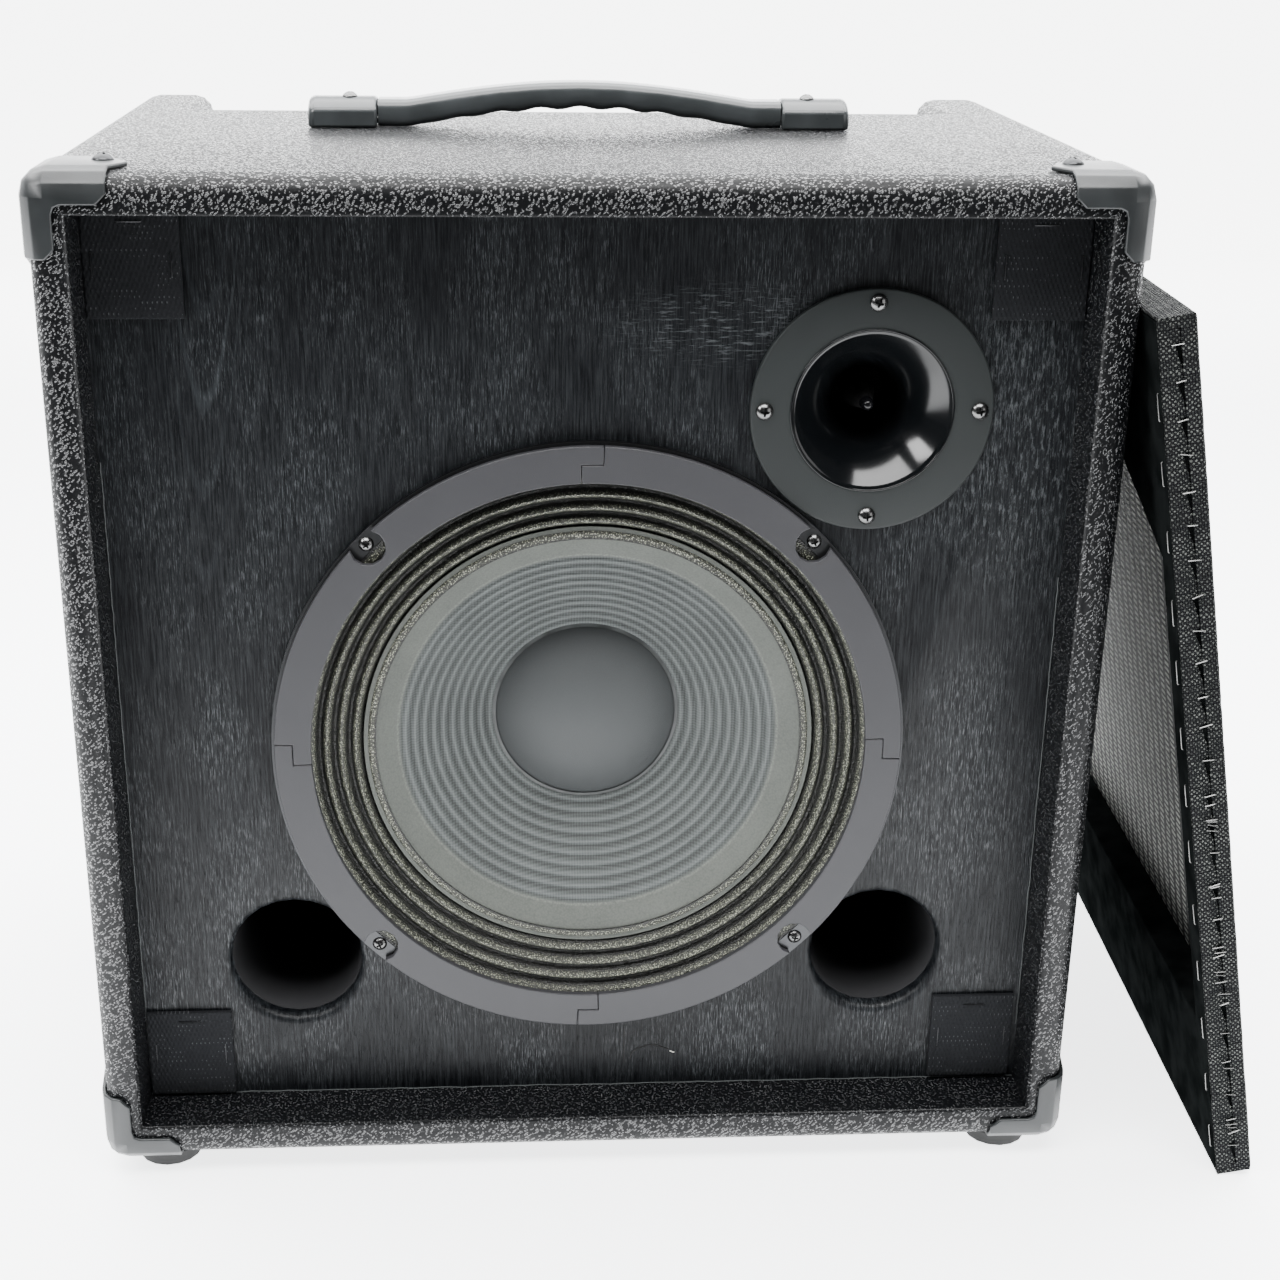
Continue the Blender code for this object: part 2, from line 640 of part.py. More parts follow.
def make_boards():
    """Four plywood walls with the battens that carry the baffle and the back."""
    ear_split = NOTCH_FRONT + INSET
    front_batten = BAFFLE_RECESS + BAFFLE + GAP
    back_batten = BACK_FACE - BACK_PANEL - GAP - BATTEN
    seat = BOARD / 2
    for side, name in ((-1, "left_side_board"), (1, "right_side_board")):
        board = part(name, carcass(INSET), PLYWOOD, cabinet)
        slab = sorted((side * INNER_HALF, side * FAR))
        ear = sorted((side * NOTCH_HALF, side * FAR))
        chosen = cutter(name + "_room", block((slab[0], -FAR, -FAR), (slab[1], FAR, FAR)), cabinet)
        ear_room = block((ear[0], ear_split, BAY_BOTTOM), (ear[1], 2 * FAR, 2 * FAR))
        combine(chosen, cutter(name + "_ear_room", ear_room, cabinet), "UNION")
        combine(board, chosen, "INTERSECT")
        near = min(side * (INNER_HALF + seat), side * (INNER_HALF - BATTEN))
        far = max(side * (INNER_HALF + seat), side * (INNER_HALF - BATTEN))
        batten(name + "_front_batten", board, (near, front_batten, INNER_BOTTOM + GAP),
               (far, front_batten + BATTEN, INNER_TOP - GAP))
        batten(name + "_back_batten", board, (near, back_batten, INNER_BOTTOM + GAP),
               (far, back_batten + BATTEN, BAY_BOTTOM + 2 * BATTEN))
    width = INNER_HALF - GAP
    strip = INNER_HALF - BATTEN - GAP
    outline = rectangle((-width, -FAR), (width, ear_split - GAP))
    top = part("top_board", carcass(INSET), PLYWOOD, cabinet)
    chosen = cutter("top_board_outline", prism([outline], BAY_BOTTOM, FAR), cabinet)
    combine(top, chosen, "INTERSECT")
    batten("top_front_batten", top, (-strip, front_batten, INNER_TOP - BATTEN),
           (strip, front_batten + BATTEN, INNER_TOP + seat))
    outline = rectangle((-width, -FAR), (width, FAR))
    bottom = part("bottom_board", carcass(INSET), PLYWOOD, cabinet)
    chosen = cutter("bottom_board_outline", prism([outline], -FAR, WOOFER_HEIGHT), cabinet)
    combine(bottom, chosen, "INTERSECT")
    for name, start in (("bottom_front_batten", front_batten), ("bottom_back_batten", back_batten)):
        batten(name, bottom, (-strip, start, INNER_BOTTOM - seat),
               (strip, start + BATTEN, INNER_BOTTOM + BATTEN))


def make_baffle():
    """Painted board that carries the woofer, the horn and the ports, and the back panel."""
    width = INNER_HALF - GAP
    low = INNER_BOTTOM + GAP
    high = INNER_TOP - GAP
    mesh = block((-width, BAFFLE_RECESS, low), (width, BAFFLE_RECESS + BAFFLE, high))
    baffle = part("baffle_board", mesh, BLACK_PAINT, cabinet)
    deep = 2 * BAFFLE
    rounded = arc((PORT_RADIUS + PORT_LIP, -PORT_LIP), PORT_LIP, math.pi / 2, math.pi, EDGE_STEPS)
    rebate_radius = PORT_RADIUS + PORT_WALL + GAP
    port_cut = [(0, deep), (PORT_RADIUS + PORT_LIP, deep)] + rounded
    port_cut += [(PORT_RADIUS, PORT_REBATE - BAFFLE), (rebate_radius, PORT_REBATE - BAFFLE)]
    port_cut += [(rebate_radius, -deep), (0, -deep)]
    woofer_cut = circle((0, 0), BASKET_MOUTH_RADIUS + BASKET_HOLE_CLEARANCE, WOOFER_STEPS)
    horn_seat = HORN_MOUTH_RADIUS + HORN_WALL + HORN_HOLE_CLEARANCE
    horn_cut = circle((0, 0), horn_seat, HORN_STEPS)
    shapes = [(woofer_frame, prism([woofer_cut], -deep, deep)),
              (horn_frame, prism([horn_cut], -deep, deep))]
    shapes += [(port, turned(port_cut, PORT_STEPS)) for port in port_frames.values()]
    for number, (carrier, shape) in enumerate(shapes):
        combine(baffle, cutter("baffle_hole_" + str(number + 1), shape, carrier), "DIFFERENCE")
    mesh = block((-width, BACK_FACE - BACK_PANEL, low),
                 (width, BACK_FACE, BAY_BOTTOM + INSET - GAP))
    part("back_panel", mesh, BLACK_PAINT, cabinet)


def protector_mesh():
    """Moulded corner, drawn with the cabinet's corner at 0 and its faces at x, y and z = 0."""
    span = 2 * PROTECTOR_FLAP
    outer = rounded_block((-PROTECTOR,) * 3, (span,) * 3, EDGE_RADIUS + PROTECTOR, EDGE_STEPS)
    inner = rounded_block((-GAP,) * 3, (FAR,) * 3, EDGE_RADIUS + GAP, EDGE_STEPS)
    shell = cutter("protector", outer, None)
    combine(shell, cutter("protector_inside", inner, None), "DIFFERENCE")
    leg = PROTECTOR_LEG - PROTECTOR
    width = PROTECTOR_LEG_WIDTH - PROTECTOR
    tip = PROTECTOR_TIP - PROTECTOR
    tip_back = PROTECTOR_TIP_BACK - PROTECTOR
    flap = PROTECTOR_FLAP - PROTECTOR
    cut = PROTECTOR_CHAMFER
    bend = width + PROTECTOR_FILLET
    fillet = arc((bend, bend), PROTECTOR_FILLET, -math.pi / 2, -math.pi, 2)
    below = -2 * PROTECTOR
    wide = 2 * span
    front = [(below, below), (wide, below), (wide, 0), (leg, 0), (leg, width - cut),
             (leg - cut, width)] + fillet
    front += [(width, leg - cut), (width - cut, leg), (0, leg), (0, wide), (below, wide)]
    face = [(below, below), (leg, below), (leg, EDGE_RADIUS), (tip, tip_back),
            (tip - cut, tip_back + 2 * cut), (tip - 3 * cut, flap), (0, flap), (0, wide),
            (below, wide)]
    keeps = {
        "protector_front": prism([front], below, wide, "XZ"),
        "protector_top": prism([face], below, wide, "XY"),
        "protector_side": prism([[(b, a) for a, b in face]], below, wide, "YZ"),
    }
    for name, mesh in keeps.items():
        combine(shell, cutter(name, mesh, None), "INTERSECT")
    return baked(shell)


def make_protectors():
    """Grey corner protectors: the same moulding, mirrored into each corner."""
    corners = {
        "protector_front_top_left": (-1, 0, 1),
        "protector_front_top_right": (1, 0, 1),
        "protector_front_bottom_left": (-1, 0, 0),
        "protector_front_bottom_right": (1, 0, 0),
        "protector_rear_bottom_left": (-1, 1, 0),
        "protector_rear_bottom_right": (1, 1, 0),
    }
    pattern = protector_mesh()
    for name, (side, rear, upper) in corners.items():
        mirror = (-side, -1 if rear else 1, -1 if upper else 1)
        shape = bmesh.new()
        shape.from_mesh(pattern)
        bmesh.ops.scale(shape, vec=mirror, verts=shape.verts)
        if mirror[0] * mirror[1] * mirror[2] < 0:
            bmesh.ops.reverse_faces(shape, faces=shape.faces)
        mesh = bpy.data.meshes.new(name)
        shape.to_mesh(mesh)
        shape.free()
        corner = (side * HALF_WIDTH, rear * CABINET_DEPTH, upper * CABINET_HEIGHT)
        part(name, mesh, GREY_PLASTIC, cabinet, corner)


def make_feet():
    """Four rubber feet, screwed on through the bottom flaps of the protectors."""
    top = -PROTECTOR - GAP
    low = -FLOOR_CLEARANCE
    profile = [(0, top), (FOOT_TOP_RADIUS, top), (FOOT_BOTTOM_RADIUS, low),
               (FOOT_RECESS_RADIUS, low), (FOOT_RECESS_RADIUS, low + FOOT_RECESS),
               (0, low + FOOT_RECESS)]
    for side, side_name in ((-1, "left"), (1, "right")):
        for rear, end_name in ((0, "front"), (1, "rear")):
            along = CABINET_DEPTH - FOOT_FROM_END if rear else FOOT_FROM_END
            place = (side * (HALF_WIDTH - FOOT_FROM_SIDE), along, 0)
            name = "foot_" + end_name + "_" + side_name
            part(name, turned(profile, FOOT_STEPS), RUBBER, cabinet, place)


def lofted(rings):
    """Closed body drawn through rings of points, with a flat face on the first and the last."""
    shape = bmesh.new()
    loops = [[shape.verts.new(point) for point in ring] for ring in rings]
    around = len(loops[0])
    for first, second in zip(loops, loops[1:]):
        for step in range(around):
            after = (step + 1) % around
            shape.faces.new((first[step], second[step], second[after], first[after]))
    shape.faces.new(loops[0])
    shape.faces.new(loops[-1])
    bmesh.ops.recalc_face_normals(shape, faces=shape.faces)
    mesh = bpy.data.meshes.new("loft")
    shape.to_mesh(mesh)
    shape.free()
    mesh.set_sharp_from_angle(angle=SHARP_EDGE)
    return mesh


def cap_ring(across, smaller):
    """Domed cross-section of a handle cap at a place along X, drawn in by a margin."""
    half = CAP_DEPTH / 2 - smaller
    top = CAP_HEIGHT - smaller
    rise = CAP_HEIGHT - CAP_SHOULDER
    radius = (half * half + rise * rise) / (2 * rise)
    spread = math.asin(half / radius)
    crown = arc((0, top - radius), radius, math.pi / 2 - spread, math.pi / 2 + spread, CAP_CROWN_STEPS)
    outline = [(-half, GAP), (half, GAP)] + crown
    return [(across, depth, height) for depth, height in outline]


def strap_ring(across):
    """Rounded cross-section of the strap at a place along X."""
    share = min(abs(across) / STRAP_ARCH_LENGTH, 1.0)
    bow = math.cos(share * math.pi / 2)
    top = STRAP_END_HEIGHT + (STRAP_CROWN - STRAP_END_HEIGHT) * bow
    rise = STRAP_CROWN - STRAP_MIDDLE_THICKNESS - GAP
    wave = FINGER_WAVE * math.cos(2 * math.pi * across / FINGER_PITCH)
    bottom = GAP + (rise + wave) * bow
    ring = []
    for step in range(STRAP_SIDES):
        angle = 2 * math.pi * (step + 0.5) / STRAP_SIDES
        side = math.copysign(abs(math.cos(angle)) ** STRAP_FLATNESS[0], math.cos(angle))
        lift = math.copysign(abs(math.sin(angle)) ** STRAP_FLATNESS[1], math.sin(angle))
        height = (top + bottom) / 2 + lift * (top - bottom) / 2
        ring.append((across, side * STRAP_DEPTH / 2, height))
    return ring


def make_handle():
    """Strap handle: two hollow caps and a strap whose tongues have play in them."""
    for side, name in ((-1, "handle_cap_left"), (1, "handle_cap_right")):
        outer = CAP_INNER + CAP_LENGTH
        rings = [cap_ring(side * CAP_INNER, 0), cap_ring(side * (outer - CAP_EDGE), 0),
                 cap_ring(side * outer, CAP_EDGE)]
        cap = part(name, lofted(rings), GREY_PLASTIC, handle_frame)
        ends = sorted((side * CAP_INNER / 2, side * (CAP_INNER + POCKET_LENGTH)))
        pocket = block((ends[0], -POCKET_DEPTH / 2, -CAP_HEIGHT),
                       (ends[1], POCKET_DEPTH / 2, POCKET_HEIGHT))
        combine(cap, cutter(name + "_pocket", pocket, handle_frame), "DIFFERENCE")
    pitch = 2 * STRAP_END / STRAP_STATIONS
    rings = [strap_ring(number * pitch - STRAP_END) for number in range(STRAP_STATIONS + 1)]
    strap = part("handle_strap", lofted(rings), GREY_PLASTIC, handle_frame)
    for side, name in ((-1, "left_tongue"), (1, "right_tongue")):
        ends = sorted((side * STRAP_END / 2, side * (CAP_INNER + TONGUE_LENGTH)))
        tongue = block((ends[0], -TONGUE_DEPTH / 2, TONGUE_LIFT),
                       (ends[1], TONGUE_DEPTH / 2, TONGUE_LIFT + TONGUE))
        combine(strap, cutter(name, tongue, handle_frame), "UNION")


def gasket_outline(number):
    """Quarter of the gasket ring, stepped at both ends and scooped out for a screw."""
    half_gap = GAP / 2
    middle = (GASKET_OUTER_RADIUS + GASKET_INNER_RADIUS) / 2

    def end(joint, side):
        """Step in the ring at a joint, from the inner edge to the outer one."""
        inner = joint + (GASKET_STEP + side * half_gap) / middle
        outer = joint + (side * half_gap - GASKET_STEP) / middle
        lower = middle + side * half_gap
        return inner, outer, lower

    start = math.pi / 2 * number
    finish = start + math.pi / 2
    first_inner, first_outer, first_step = end(start, 1)
    last_inner, last_outer, last_step = end(finish, -1)
    bolt = start + math.pi / 4
    hub = (SCOOP_CENTRE_RADIUS * math.cos(bolt), SCOOP_CENTRE_RADIUS * math.sin(bolt))
    between = GASKET_OUTER_RADIUS ** 2 - SCOOP_CENTRE_RADIUS ** 2 - SCOOP_RADIUS ** 2
    opening = math.acos(between / (2 * SCOOP_CENTRE_RADIUS * SCOOP_RADIUS))
    scoop = arc(hub, SCOOP_RADIUS, bolt - opening, bolt - 2 * math.pi + opening, SCOOP_STEPS)
    edge = math.atan2(scoop[0][1], scoop[0][0]) - math.atan2(hub[1], hub[0])
    half_angle = abs(edge)
    points = arc((0, 0), GASKET_INNER_RADIUS, last_inner, first_inner, GASKET_STEPS)
    points += [(first_step * math.cos(first_inner), first_step * math.sin(first_inner)),
               (first_step * math.cos(first_outer), first_step * math.sin(first_outer))]
    points += arc((0, 0), GASKET_OUTER_RADIUS, first_outer, bolt - half_angle, GASKET_STEPS // 2)
    points += scoop[1:-1]
    points += arc((0, 0), GASKET_OUTER_RADIUS, bolt + half_angle, last_outer, GASKET_STEPS // 2)
    points += [(last_step * math.cos(last_outer), last_step * math.sin(last_outer)),
               (last_step * math.cos(last_inner), last_step * math.sin(last_inner))]
    return points


def cone_depth(radius):
    """How far the cone's face lies behind the baffle's face at a radius."""
    share = (CONE_RADIUS - CONE_LIP - radius) / (CONE_RADIUS - CONE_LIP - CONE_NECK_RADIUS)
    return CONE_FACE_DEPTH + (CONE_NECK_DEPTH - CONE_FACE_DEPTH) * share


def make_basket():
    """Pressed frame of the woofer, with windows in its wall and the motor's top plate on it."""
    profile = [
        (FLANGE_LEDGE_RADIUS, FLANGE), (FLANGE_RADIUS, FLANGE), (FLANGE_RADIUS, GAP),
        (BASKET_MOUTH_RADIUS, GAP), (BASKET_MOUTH_RADIUS, -BASKET_WALL * 2),
        (SPIDER_LEDGE_RADIUS + 3 * BASKET_WALL, -SPIDER_LEDGE_DEPTH - BASKET_WALL),
        (BASKET_THROAT_RADIUS, -SPIDER_LEDGE_DEPTH - BASKET_WALL),
        (BASKET_THROAT_RADIUS, -BASKET_DEPTH - TOP_PLATE),
        (COIL_RADIUS + COIL_GAP, -BASKET_DEPTH - TOP_PLATE),
        (COIL_RADIUS + COIL_GAP, -BASKET_DEPTH),
        (BASKET_THROAT_RADIUS - BASKET_WALL, -BASKET_DEPTH),
        (BASKET_THROAT_RADIUS - BASKET_WALL, -SPIDER_LEDGE_DEPTH),
        (SPIDER_LEDGE_RADIUS + 2 * BASKET_WALL, -SPIDER_LEDGE_DEPTH),
        (BASKET_MOUTH_RADIUS - BASKET_WALL, -BASKET_WALL * 2),
        (BASKET_MOUTH_RADIUS - BASKET_WALL, FLANGE - FLANGE_LEDGE),
        (FLANGE_LEDGE_RADIUS, FLANGE - FLANGE_LEDGE),
    ]
    mesh = turned(profile, WOOFER_STEPS, closed=True)
    basket = part("woofer_basket", mesh, BLACK_STEEL, woofer_frame)
    inner = SPIDER_LEDGE_RADIUS + 4 * BASKET_WALL
    outer = BASKET_MOUTH_RADIUS + BASKET_WALL
    half = math.pi / BASKET_WINDOWS * WINDOW_SHARE
    for number in range(BASKET_WINDOWS):
        middle = 2 * math.pi * (number + 0.5) / BASKET_WINDOWS
        outline = arc((0, 0), inner, middle + half, middle - half, 3)
        outline += arc((0, 0), outer, middle - half, middle + half, 3)
        window = prism([outline], -SPIDER_LEDGE_DEPTH - 3 * BASKET_WALL, -3 * BASKET_WALL)
        name = "basket_window_" + str(number + 1)
        combine(basket, cutter(name, window, woofer_frame), "DIFFERENCE")


def make_gasket():
    """Stepped gasket ring in four pieces."""
    names = ("gasket_top_right", "gasket_top_left", "gasket_bottom_left", "gasket_bottom_right")
    low = FLANGE + GAP
    for number, name in enumerate(names):
        mesh = prism([gasket_outline(number)], low, low + GASKET)
        part(name, mesh, GASKET_PAPER, woofer_frame)


def make_surround():
    """Doped cloth surround: a glued rim, four sharp rolls and the edge glued to the cone."""
    rim_height = FLANGE - FLANGE_LEDGE + GAP
    front = [(FLANGE_LEDGE_RADIUS - GAP, rim_height + SURROUND_THICKNESS)]
    front.append((SURROUND_RADIUS, rim_height + SURROUND_THICKNESS))
    inner = SURROUND_RADIUS - SURROUND_ROLLS * SURROUND_ROLL
    low = -CONE_FACE_DEPTH + GAP
    drop = (rim_height - low) / (SURROUND_ROLLS + 0.5)
    back = [(radius, height - SURROUND_THICKNESS) for radius, height in front]
    for roll in range(SURROUND_ROLLS):
        start = SURROUND_RADIUS - roll * SURROUND_ROLL
        level = rim_height - drop * (roll + 0.5)
        valley = (start - ROLL_VALLEY * SURROUND_ROLL, level - SURROUND_HEIGHT / 2)
        crest = level + SURROUND_HEIGHT / 2
        front += [valley] + [(start - share * SURROUND_ROLL, crest) for share in ROLL_CREST]
        back.append((valley[0], valley[1] - SURROUND_THICKNESS))
        back.append((start - ROLL_UNDERSIDE * SURROUND_ROLL, crest - SURROUND_THICKNESS))
    edge = [(inner - ROLL_VALLEY * SURROUND_ROLL, low), (CONE_RADIUS - CONE_LIP, low)]
    front += [(radius, height + SURROUND_THICKNESS) for radius, height in edge]
    back += edge
    mesh = turned(list(reversed(front)) + back, WOOFER_STEPS, closed=True)
    part("surround", mesh, DOPED_CLOTH, woofer_frame)


def make_cone():
    """Paper cone with a flat lip, ring ribs on its face, a dust cap and the voice coil behind."""
    lip = CONE_RADIUS - CONE_LIP
    face = [(CONE_NECK_RADIUS, -CONE_NECK_DEPTH)]
    pitch = (lip - DUST_CAP_RADIUS) / (CONE_RIBS + 1)
    for rib in range(CONE_RIBS):
        low = DUST_CAP_RADIUS + pitch * (rib + 0.5)
        high = low + pitch / 2
        face.append((low, -cone_depth(low)))
        face.append((high, -cone_depth(high) + CONE_RIB_HEIGHT))
    face += [(lip, -CONE_FACE_DEPTH), (CONE_RADIUS, -CONE_FACE_DEPTH)]
    thick = CONE_THICKNESS
    back = [(CONE_RADIUS, -CONE_FACE_DEPTH - thick), (lip, -CONE_FACE_DEPTH - thick)]
    back.append((CONE_NECK_RADIUS, -CONE_NECK_DEPTH - thick))
    part("cone", turned(face + back, WOOFER_STEPS, closed=True), CONE_PAPER, woofer_frame)

    seat = -cone_depth(DUST_CAP_RADIUS) + GAP + 0.5 * CONE_RIB_HEIGHT
    radius = (DUST_CAP_RADIUS ** 2 + DUST_CAP_RISE ** 2) / (2 * DUST_CAP_RISE)
    spread = math.asin(DUST_CAP_RADIUS / radius)
    centre = (0, seat + DUST_CAP_RISE - radius)
    outside = arc(centre, radius, math.pi / 2, math.pi / 2 - spread, 4)
    inside = arc(centre, radius - DUST_CAP_THICKNESS, math.pi / 2 - spread, math.pi / 2, 3)
    outside[0] = (0, outside[0][1])
    inside[-1] = (0, inside[-1][1])
    part("dust_cap", turned(outside + inside, HORN_STEPS), DUST_CAP_PAPER, woofer_frame)

    top = -CONE_NECK_DEPTH + COIL_RISE
    bottom = top - COIL_LENGTH
    inner = COIL_RADIUS - COIL_THICKNESS
    outline = [(inner, top), (COIL_RADIUS, top), (COIL_RADIUS, bottom), (inner, bottom)]
    part("voice_coil", turned(outline, MOTOR_STEPS, closed=True), COPPER, woofer_frame)


def make_spider():
    """Corrugated disc that centres the voice coil, glued to the basket's ledge."""
    outer = SPIDER_LEDGE_RADIUS + 2 * BASKET_WALL - GAP
    inner = COIL_RADIUS + GAP
    rim = -SPIDER_LEDGE_DEPTH + GAP + SPIDER_THICKNESS
    front = [(outer, rim), (outer - 2 * BASKET_WALL, rim)]
    width = (outer - 2 * BASKET_WALL - inner) / (2 * SPIDER_ROLLS + 1)
    for roll in range(2 * SPIDER_ROLLS):
        place = outer - 2 * BASKET_WALL - width * (roll + 1)
        front.append((place, rim + (SPIDER_HEIGHT if roll % 2 == 0 else 0.0)))
    front.append((inner, rim + SPIDER_HEIGHT / 2))
    back = [(radius, height - SPIDER_THICKNESS) for radius, height in front]
    part("spider", turned(list(reversed(front)) + back, MOTOR_STEPS, closed=True),
         SPEAKER_CLOTH, woofer_frame)


def make_motor():
    """Ring magnet and the yoke, whose pole stands inside the voice coil."""
    top = -BASKET_DEPTH - TOP_PLATE - GAP
    outline = [(MAGNET_BORE_RADIUS, top), (MAGNET_RADIUS, top), (MAGNET_RADIUS, top - MAGNET),
               (MAGNET_BORE_RADIUS, top - MAGNET)]
    part("magnet", turned(outline, MOTOR_STEPS, closed=True), FERRITE, woofer_frame)
    plate = top - MAGNET - GAP
    pole = COIL_RADIUS - COIL_THICKNESS - COIL_GAP
    outline = [(0, -BASKET_DEPTH), (pole, -BASKET_DEPTH), (pole, plate), (YOKE_RADIUS, plate),
               (YOKE_RADIUS, plate - YOKE_PLATE), (0, plate - YOKE_PLATE)]
    part("yoke", turned(outline, MOTOR_STEPS), ZINC, woofer_frame)


def make_horn():
    """Round horn with a bullet in its throat. The bullet stands on the driver behind it."""
    flare = []
    for step in range(HORN_RINGS + 1):
        share = step / HORN_RINGS
        radius = HORN_THROAT_RADIUS + (HORN_MOUTH_RADIUS - HORN_THROAT_RADIUS) * share ** HORN_FLARE
        flare.append((radius, -HORN_DEPTH + (HORN_DEPTH + HORN_FLANGE) * share))
    shell = [(radius + HORN_WALL, height) for radius, height in flare[1:-1:2]]
    seat = HORN_MOUTH_RADIUS + HORN_WALL
    profile = [(HORN_FLANGE_RADIUS - HORN_EDGE, HORN_FLANGE),
               (HORN_FLANGE_RADIUS, HORN_FLANGE - HORN_EDGE),
               (HORN_FLANGE_RADIUS, GAP), (seat, GAP)]
    profile += list(reversed(shell))
    profile += [(HORN_REAR_FLANGE_RADIUS, -HORN_DEPTH + HORN_WALL),
                (HORN_REAR_FLANGE_RADIUS, -HORN_DEPTH)]
    profile += flare
    part("horn", turned(profile, HORN_STEPS, closed=True), GREY_PLASTIC, horn_frame)
    face = -HORN_DEPTH - GAP
    tip_centre = (0, -BULLET_TIP_DEPTH - BULLET_TIP_RADIUS)
    tip = [(0, -BULLET_TIP_DEPTH)] + arc(tip_centre, BULLET_TIP_RADIUS, math.pi / 4, 0, 1)
    body = [(BULLET_RADIUS, face + BULLET_RADIUS / 2), (BULLET_RADIUS, face), (DRIVER_RADIUS, face),
            (DRIVER_RADIUS, face - DRIVER_DEPTH), (0, face - DRIVER_DEPTH)]
    part("horn_driver", turned(tip + body, MOTOR_STEPS), FERRITE, horn_frame)


def make_ports():
    """Two cardboard tubes, glued into rebates at the back of the baffle."""
    top = PORT_REBATE - BAFFLE - GAP
    outer = PORT_RADIUS + PORT_WALL
    outline = [(PORT_RADIUS, top), (outer, top), (outer, top - PORT_LENGTH),
               (PORT_RADIUS, top - PORT_LENGTH)]
    for name, carrier in port_frames.items():
        part(name, turned(outline, PORT_STEPS, closed=True), CARDBOARD, carrier)


def make_pads():
    """Hook and loop pads on the baffle that hold the grille when it is on."""
    face = BAFFLE_RECESS - GAP
    mouth_half = HALF_WIDTH - WALL
    for name, (side, end, inward, away) in PAD_PLACES.items():
        left = inward - mouth_half if side < 0 else mouth_half - inward - PAD_WIDTH
        low = WALL + away if end < 0 else CABINET_HEIGHT - WALL - away - PAD_HEIGHT
        mesh = block((0, -PAD, 0), (PAD_WIDTH, 0, PAD_HEIGHT))
        part(name, mesh, LOOP_FELT, cabinet, (left, face, low))


def panel_point(along, above):
    """Cabinet coordinates, (y, z), of a place along the control panel and above its face."""
    y = along * math.cos(PANEL_SLOPE) + above * math.sin(PANEL_SLOPE)
    z = above * math.cos(PANEL_SLOPE) - along * math.sin(PANEL_SLOPE)
    return PANEL_FRONT + y, CABINET_HEIGHT - PANEL_DROP + z


def make_chassis():
    """Folded steel tray for the electronics, held between the ears."""
    under = -PANEL_SHEET - GAP
    front_edge = panel_point(0, under)
    back_edge = panel_point(PANEL_LENGTH, under)
    outline = [(CHASSIS_FRONT, CHASSIS_BOTTOM), (BACK_FACE, CHASSIS_BOTTOM),
               (BACK_FACE, back_edge[1]), front_edge, (CHASSIS_FRONT, front_edge[1])]
    inside = [(CHASSIS_FRONT + SHEET, CHASSIS_BOTTOM + SHEET), (BACK_FACE - SHEET, CHASSIS_BOTTOM + SHEET),
              (BACK_FACE - SHEET, FAR), (CHASSIS_FRONT + SHEET, FAR)]
    tray = part("chassis", prism([outline], -CHASSIS_HALF, CHASSIS_HALF, "YZ"), SHEET_STEEL, cabinet)
    room = CHASSIS_HALF - SHEET
    combine(tray, cutter("chassis_inside", prism([inside], -room, room, "YZ"), cabinet), "DIFFERENCE")
    barrel = circle((DI_PLACE, SOCKET_HEIGHT), DI_BARREL_RADIUS + GAP, MOTOR_STEPS)
    hole = prism([barrel], BACK_FACE - 2 * SHEET, BACK_FACE + SHEET, "XZ")
    combine(tray, cutter("di_hole", hole, cabinet), "DIFFERENCE")
    half_width = INLET_BODY_WIDTH / 2 + GAP
    half_height = INLET_BODY_HEIGHT / 2 + GAP
    hole = block((INLET_PLACE - half_width, BACK_FACE - 2 * SHEET, SOCKET_HEIGHT - half_height),
                 (INLET_PLACE + half_width, BACK_FACE + SHEET, SOCKET_HEIGHT + half_height))
    combine(tray, cutter("inlet_hole", hole, cabinet), "DIFFERENCE")


def make_control_panel():
    """Sloping panel with a hole for each control."""
    half = CHASSIS_HALF
    outline = rectangle((-half, 0), (half, PANEL_LENGTH))
    shaft = SHAFT_RADIUS + GAP
    holes = [circle((place, CONTROL_ROW), shaft, SMALL_STEPS) for place in KNOB_PLACES]
    button = BUTTON_SIZE / 2 + GAP
    holes += [rectangle((place - button, CONTROL_ROW - button), (place + button, CONTROL_ROW + button))
              for place in BUTTON_PLACES]
    holes.append(circle((JACK_PLACE, CONTROL_ROW), JACK_NECK_RADIUS + GAP, SMALL_STEPS))
    width = ROCKER_WIDTH / 2 + 2 * GAP + HOUSING_WALL
    length = ROCKER_LENGTH / 2 + 4 * GAP + HOUSING_WALL
    holes.append(rectangle((ROCKER_PLACE - width, CONTROL_ROW - length),
                           (ROCKER_PLACE + width, CONTROL_ROW + length)))
    mesh = prism([outline] + holes, -PANEL_SHEET, 0)
    part("control_panel", mesh, PANEL_FINISH, panel_frame)


